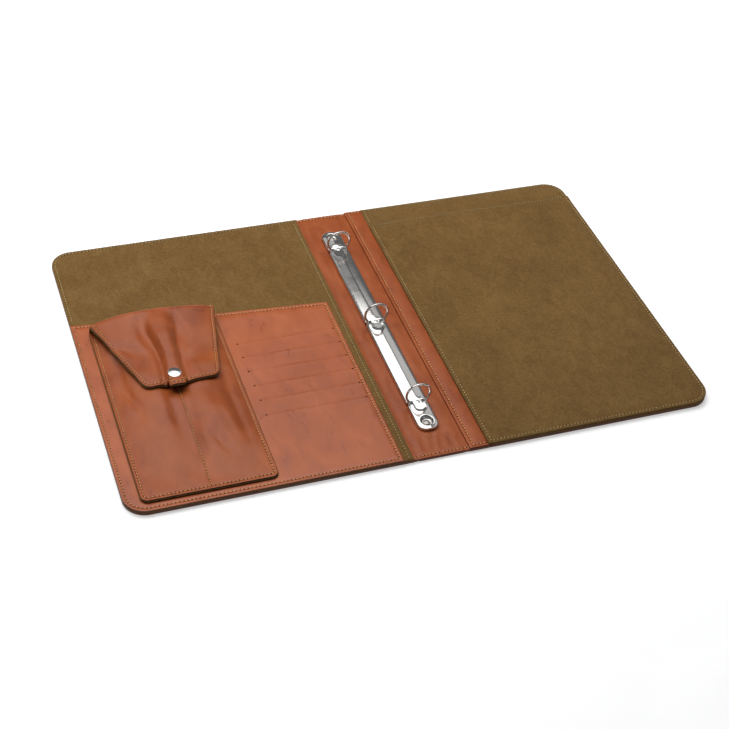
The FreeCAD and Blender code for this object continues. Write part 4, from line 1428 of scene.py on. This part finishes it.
def half_ring_path(side):
    """Half ring's centreline seen from the near end: round from its tip, then down into its slot."""
    across = FOOT_OFFSET + FOOT_BEND
    drop = math.sqrt((RING_PATH + FOOT_BEND) ** 2 - across ** 2)
    tip = math.asin(TIP_GAP / RING_PATH)
    joint = math.pi / 2 + math.atan2(drop, across)
    turn = np.linspace(tip, joint, 44)
    points = [(RING_PATH * math.sin(t), RING_CENTRE_Z + RING_PATH * math.cos(t)) for t in turn]
    start = math.pi - math.atan2(drop, across)
    for t in np.linspace(start, math.pi, 10)[1:]:
        height = RING_CENTRE_Z - drop + FOOT_BEND * math.sin(t)
        points.append((across + FOOT_BEND * math.cos(t), height))
    points.append((FOOT_OFFSET, FOOT_END))
    return [(SPINE_MIDDLE + side * across_x, z) for across_x, z in points]


def wire(name, path, y, material):
    """Round wire along a path in an upright plane, with its free end slightly rounded off."""
    path = np.array(path)
    normal = left_of(unit(np.gradient(path, axis=0)))
    radii = np.full(len(path), WIRE)
    radii[0] = WIRE * 0.95
    vertices = []
    for (x, z), (nx, nz), radius in zip(path, normal, radii):
        for part in range(WIRE_SIDES):
            angle = math.tau * part / WIRE_SIDES
            reach = radius * math.cos(angle)
            vertices.append((x + nx * reach, y + radius * math.sin(angle), z + nz * reach))
    return new_object(name, vertices, tube_faces(len(path), WIRE_SIDES), material)


def half_rings():
    for side, sign in (("left", -1), ("right", 1)):
        for place, y in RINGS.items():
            piece = wire(side + "_ring_wire_" + place, half_ring_path(sign), y, NICKEL)
            fix_normals(piece)
            placed(piece, side + "_ring_bar", ["%s_half_ring_%s" % (side, place)])


def fix_normals(piece):
    """Turns all faces outward."""
    mesh = bmesh.new()
    mesh.from_mesh(piece.data)
    bmesh.ops.recalc_face_normals(mesh, faces=mesh.faces)
    mesh.to_mesh(piece.data)
    mesh.free()


def carried_over():
    """Gives the CAD nodes that still show their finish."""
    finishes = {BOARD: ["left_board", "right_board", "spine_board"],
                CLOTH: ["card_pocket_%d" % number for number in range(1, SLIT_COUNT + 1)],
                STEEL: ["left_blade", "right_blade", "rivet_washer_near", "rivet_washer_far"],
                NICKEL: ["snap_stud", "snap_socket"]}
    for material, names in finishes.items():
        for name in names:
            node = frame["nodes"][name]
            keep_rest(node)
            node.data.materials.clear()
            node.data.materials.append(material)


# ---- Studio ----
CAMERA_AZIMUTH = -23.421
CAMERA_ELEVATION = 42.442
CAMERA_ROLL = 6.334
CAMERA_DISTANCE = 1.31509
CAMERA_TARGET = Vector((-0.0218, -0.04335, 0.0))
CAMERA_LENS = 73.22


def camera():
    azimuth, elevation = math.radians(CAMERA_AZIMUTH), math.radians(CAMERA_ELEVATION)
    back = Vector((math.sin(azimuth) * math.cos(elevation), -math.cos(azimuth) * math.cos(elevation),
                   math.sin(elevation)))
    data = bpy.data.cameras.new("camera")
    data.lens, data.sensor_width = CAMERA_LENS, 36.0
    data.clip_start, data.clip_end = 0.05, 50.0
    eye = add_to_scene("camera", data)
    eye.location = CAMERA_TARGET + back * CAMERA_DISTANCE
    turn = (-back).to_track_quat("-Z", "Y")
    eye.rotation_mode = "QUATERNION"
    eye.rotation_quaternion = turn @ Quaternion(Vector((0.0, 0.0, 1.0)), math.radians(CAMERA_ROLL))
    bpy.context.scene.camera = eye


def area_light(name, place, width, height, power, mirrored):
    """A panel that hangs level and shines down. A mirrored one only shows in glossy reflections."""
    data = bpy.data.lights.new(name, "AREA")
    data.shape, data.size, data.size_y, data.energy = "RECTANGLE", width, height, power
    lamp = add_to_scene(name, data)
    lamp.location = place
    lamp.visible_diffuse = not mirrored
    lamp.visible_glossy = mirrored


# brightness of the sky at some heights, from 0 for level to 1 for overhead
SKY = ((0.0, 0.14), (0.45, 0.13), (0.72, 0.13), (1.0, 0.40))
FLOOR_TOP = -0.4                # the case stands on the stitches below its covers
FLOOR_HALF = 6000.0
SOFTBOXES = (                   # sides (left, near, right, far), height, watts, whether only mirrored
    ("softbox", (-1.10, 0.05, 0.50, 1.35), 1.26, 36.5, False),
    ("softbox_reflection", (-0.95, -0.45, 0.64, 1.22), 1.20, 13.3, True),
    ("side_panel", (0.84, -0.30, 1.80, 1.60), 1.20, 2.6, True),
    ("back_panel", (-0.75, 1.42, 0.35, 1.80), 1.20, 0.75, True),
)


def studio():
    """Pale floor, a large softbox over the far side of the case and soft light all round."""
    world = bpy.data.worlds.new("studio")
    bpy.context.scene.world = world
    world.use_nodes = True
    nodes, links = world.node_tree.nodes, world.node_tree.links
    place = nodes.new("ShaderNodeTexCoord")
    split = nodes.new("ShaderNodeSeparateXYZ")
    sky = nodes.new("ShaderNodeValToRGB")
    links.new(place.outputs["Generated"], split.inputs["Vector"])
    links.new(split.outputs["Z"], sky.inputs["Fac"])
    links.new(sky.outputs["Color"], nodes["Background"].inputs["Color"])
    sky.color_ramp.elements.new(0.5)
    sky.color_ramp.elements.new(0.5)
    for element, (height, shade) in zip(sky.color_ramp.elements, SKY):
        element.position = height
        element.color = (shade * 0.97, shade * 0.99, shade, 1.0)
    for name, (left, near, right, far), height, power, mirrored in SOFTBOXES:
        place = ((left + right) / 2, (near + far) / 2, height)
        area_light(name, place, right - left, far - near, power, mirrored)
    finish = Finish("studio_floor")
    speckle = finish.noise(0.02, 2.0)
    colour = finish.ramp(speckle, [(0.4, (0.60, 0.60, 0.60)), (0.6, (0.62, 0.62, 0.62))])
    finish.set(Base_Color=colour, Roughness=0.9, Specular_IOR_Level=0.1,
               Emission_Color=(1.0, 1.0, 1.0, 1.0), Emission_Strength=0.46)
    square = rectangle(-FLOOR_HALF, -FLOOR_HALF, FLOOR_HALF, FLOOR_HALF)
    corners = [(x, y, FLOOR_TOP) for x, y, _ in square]
    floor = new_object("studio_floor", corners, [(0, 1, 2, 3)], finish.material)
    bpy.context.scene.view_settings.view_transform = "Standard"


# ---- Everything together ----
outer_cover("left", "left_cover_fold", ["left_outer_leather", "spine_outer_leather"])
outer_cover("right", "right_cover_fold", ["right_outer_leather", "spine_outer_leather"])
left_lining()
spine_leather("left", "left_cover_fold")
spine_leather("right", "right_cover_fold")
hinge_strip()
right_lining()
document_pocket()
card_panel()
pouch()
flap()
snap_cap()
housing()
mounting_rivets()
half_rings()
carried_over()
studio()
camera()
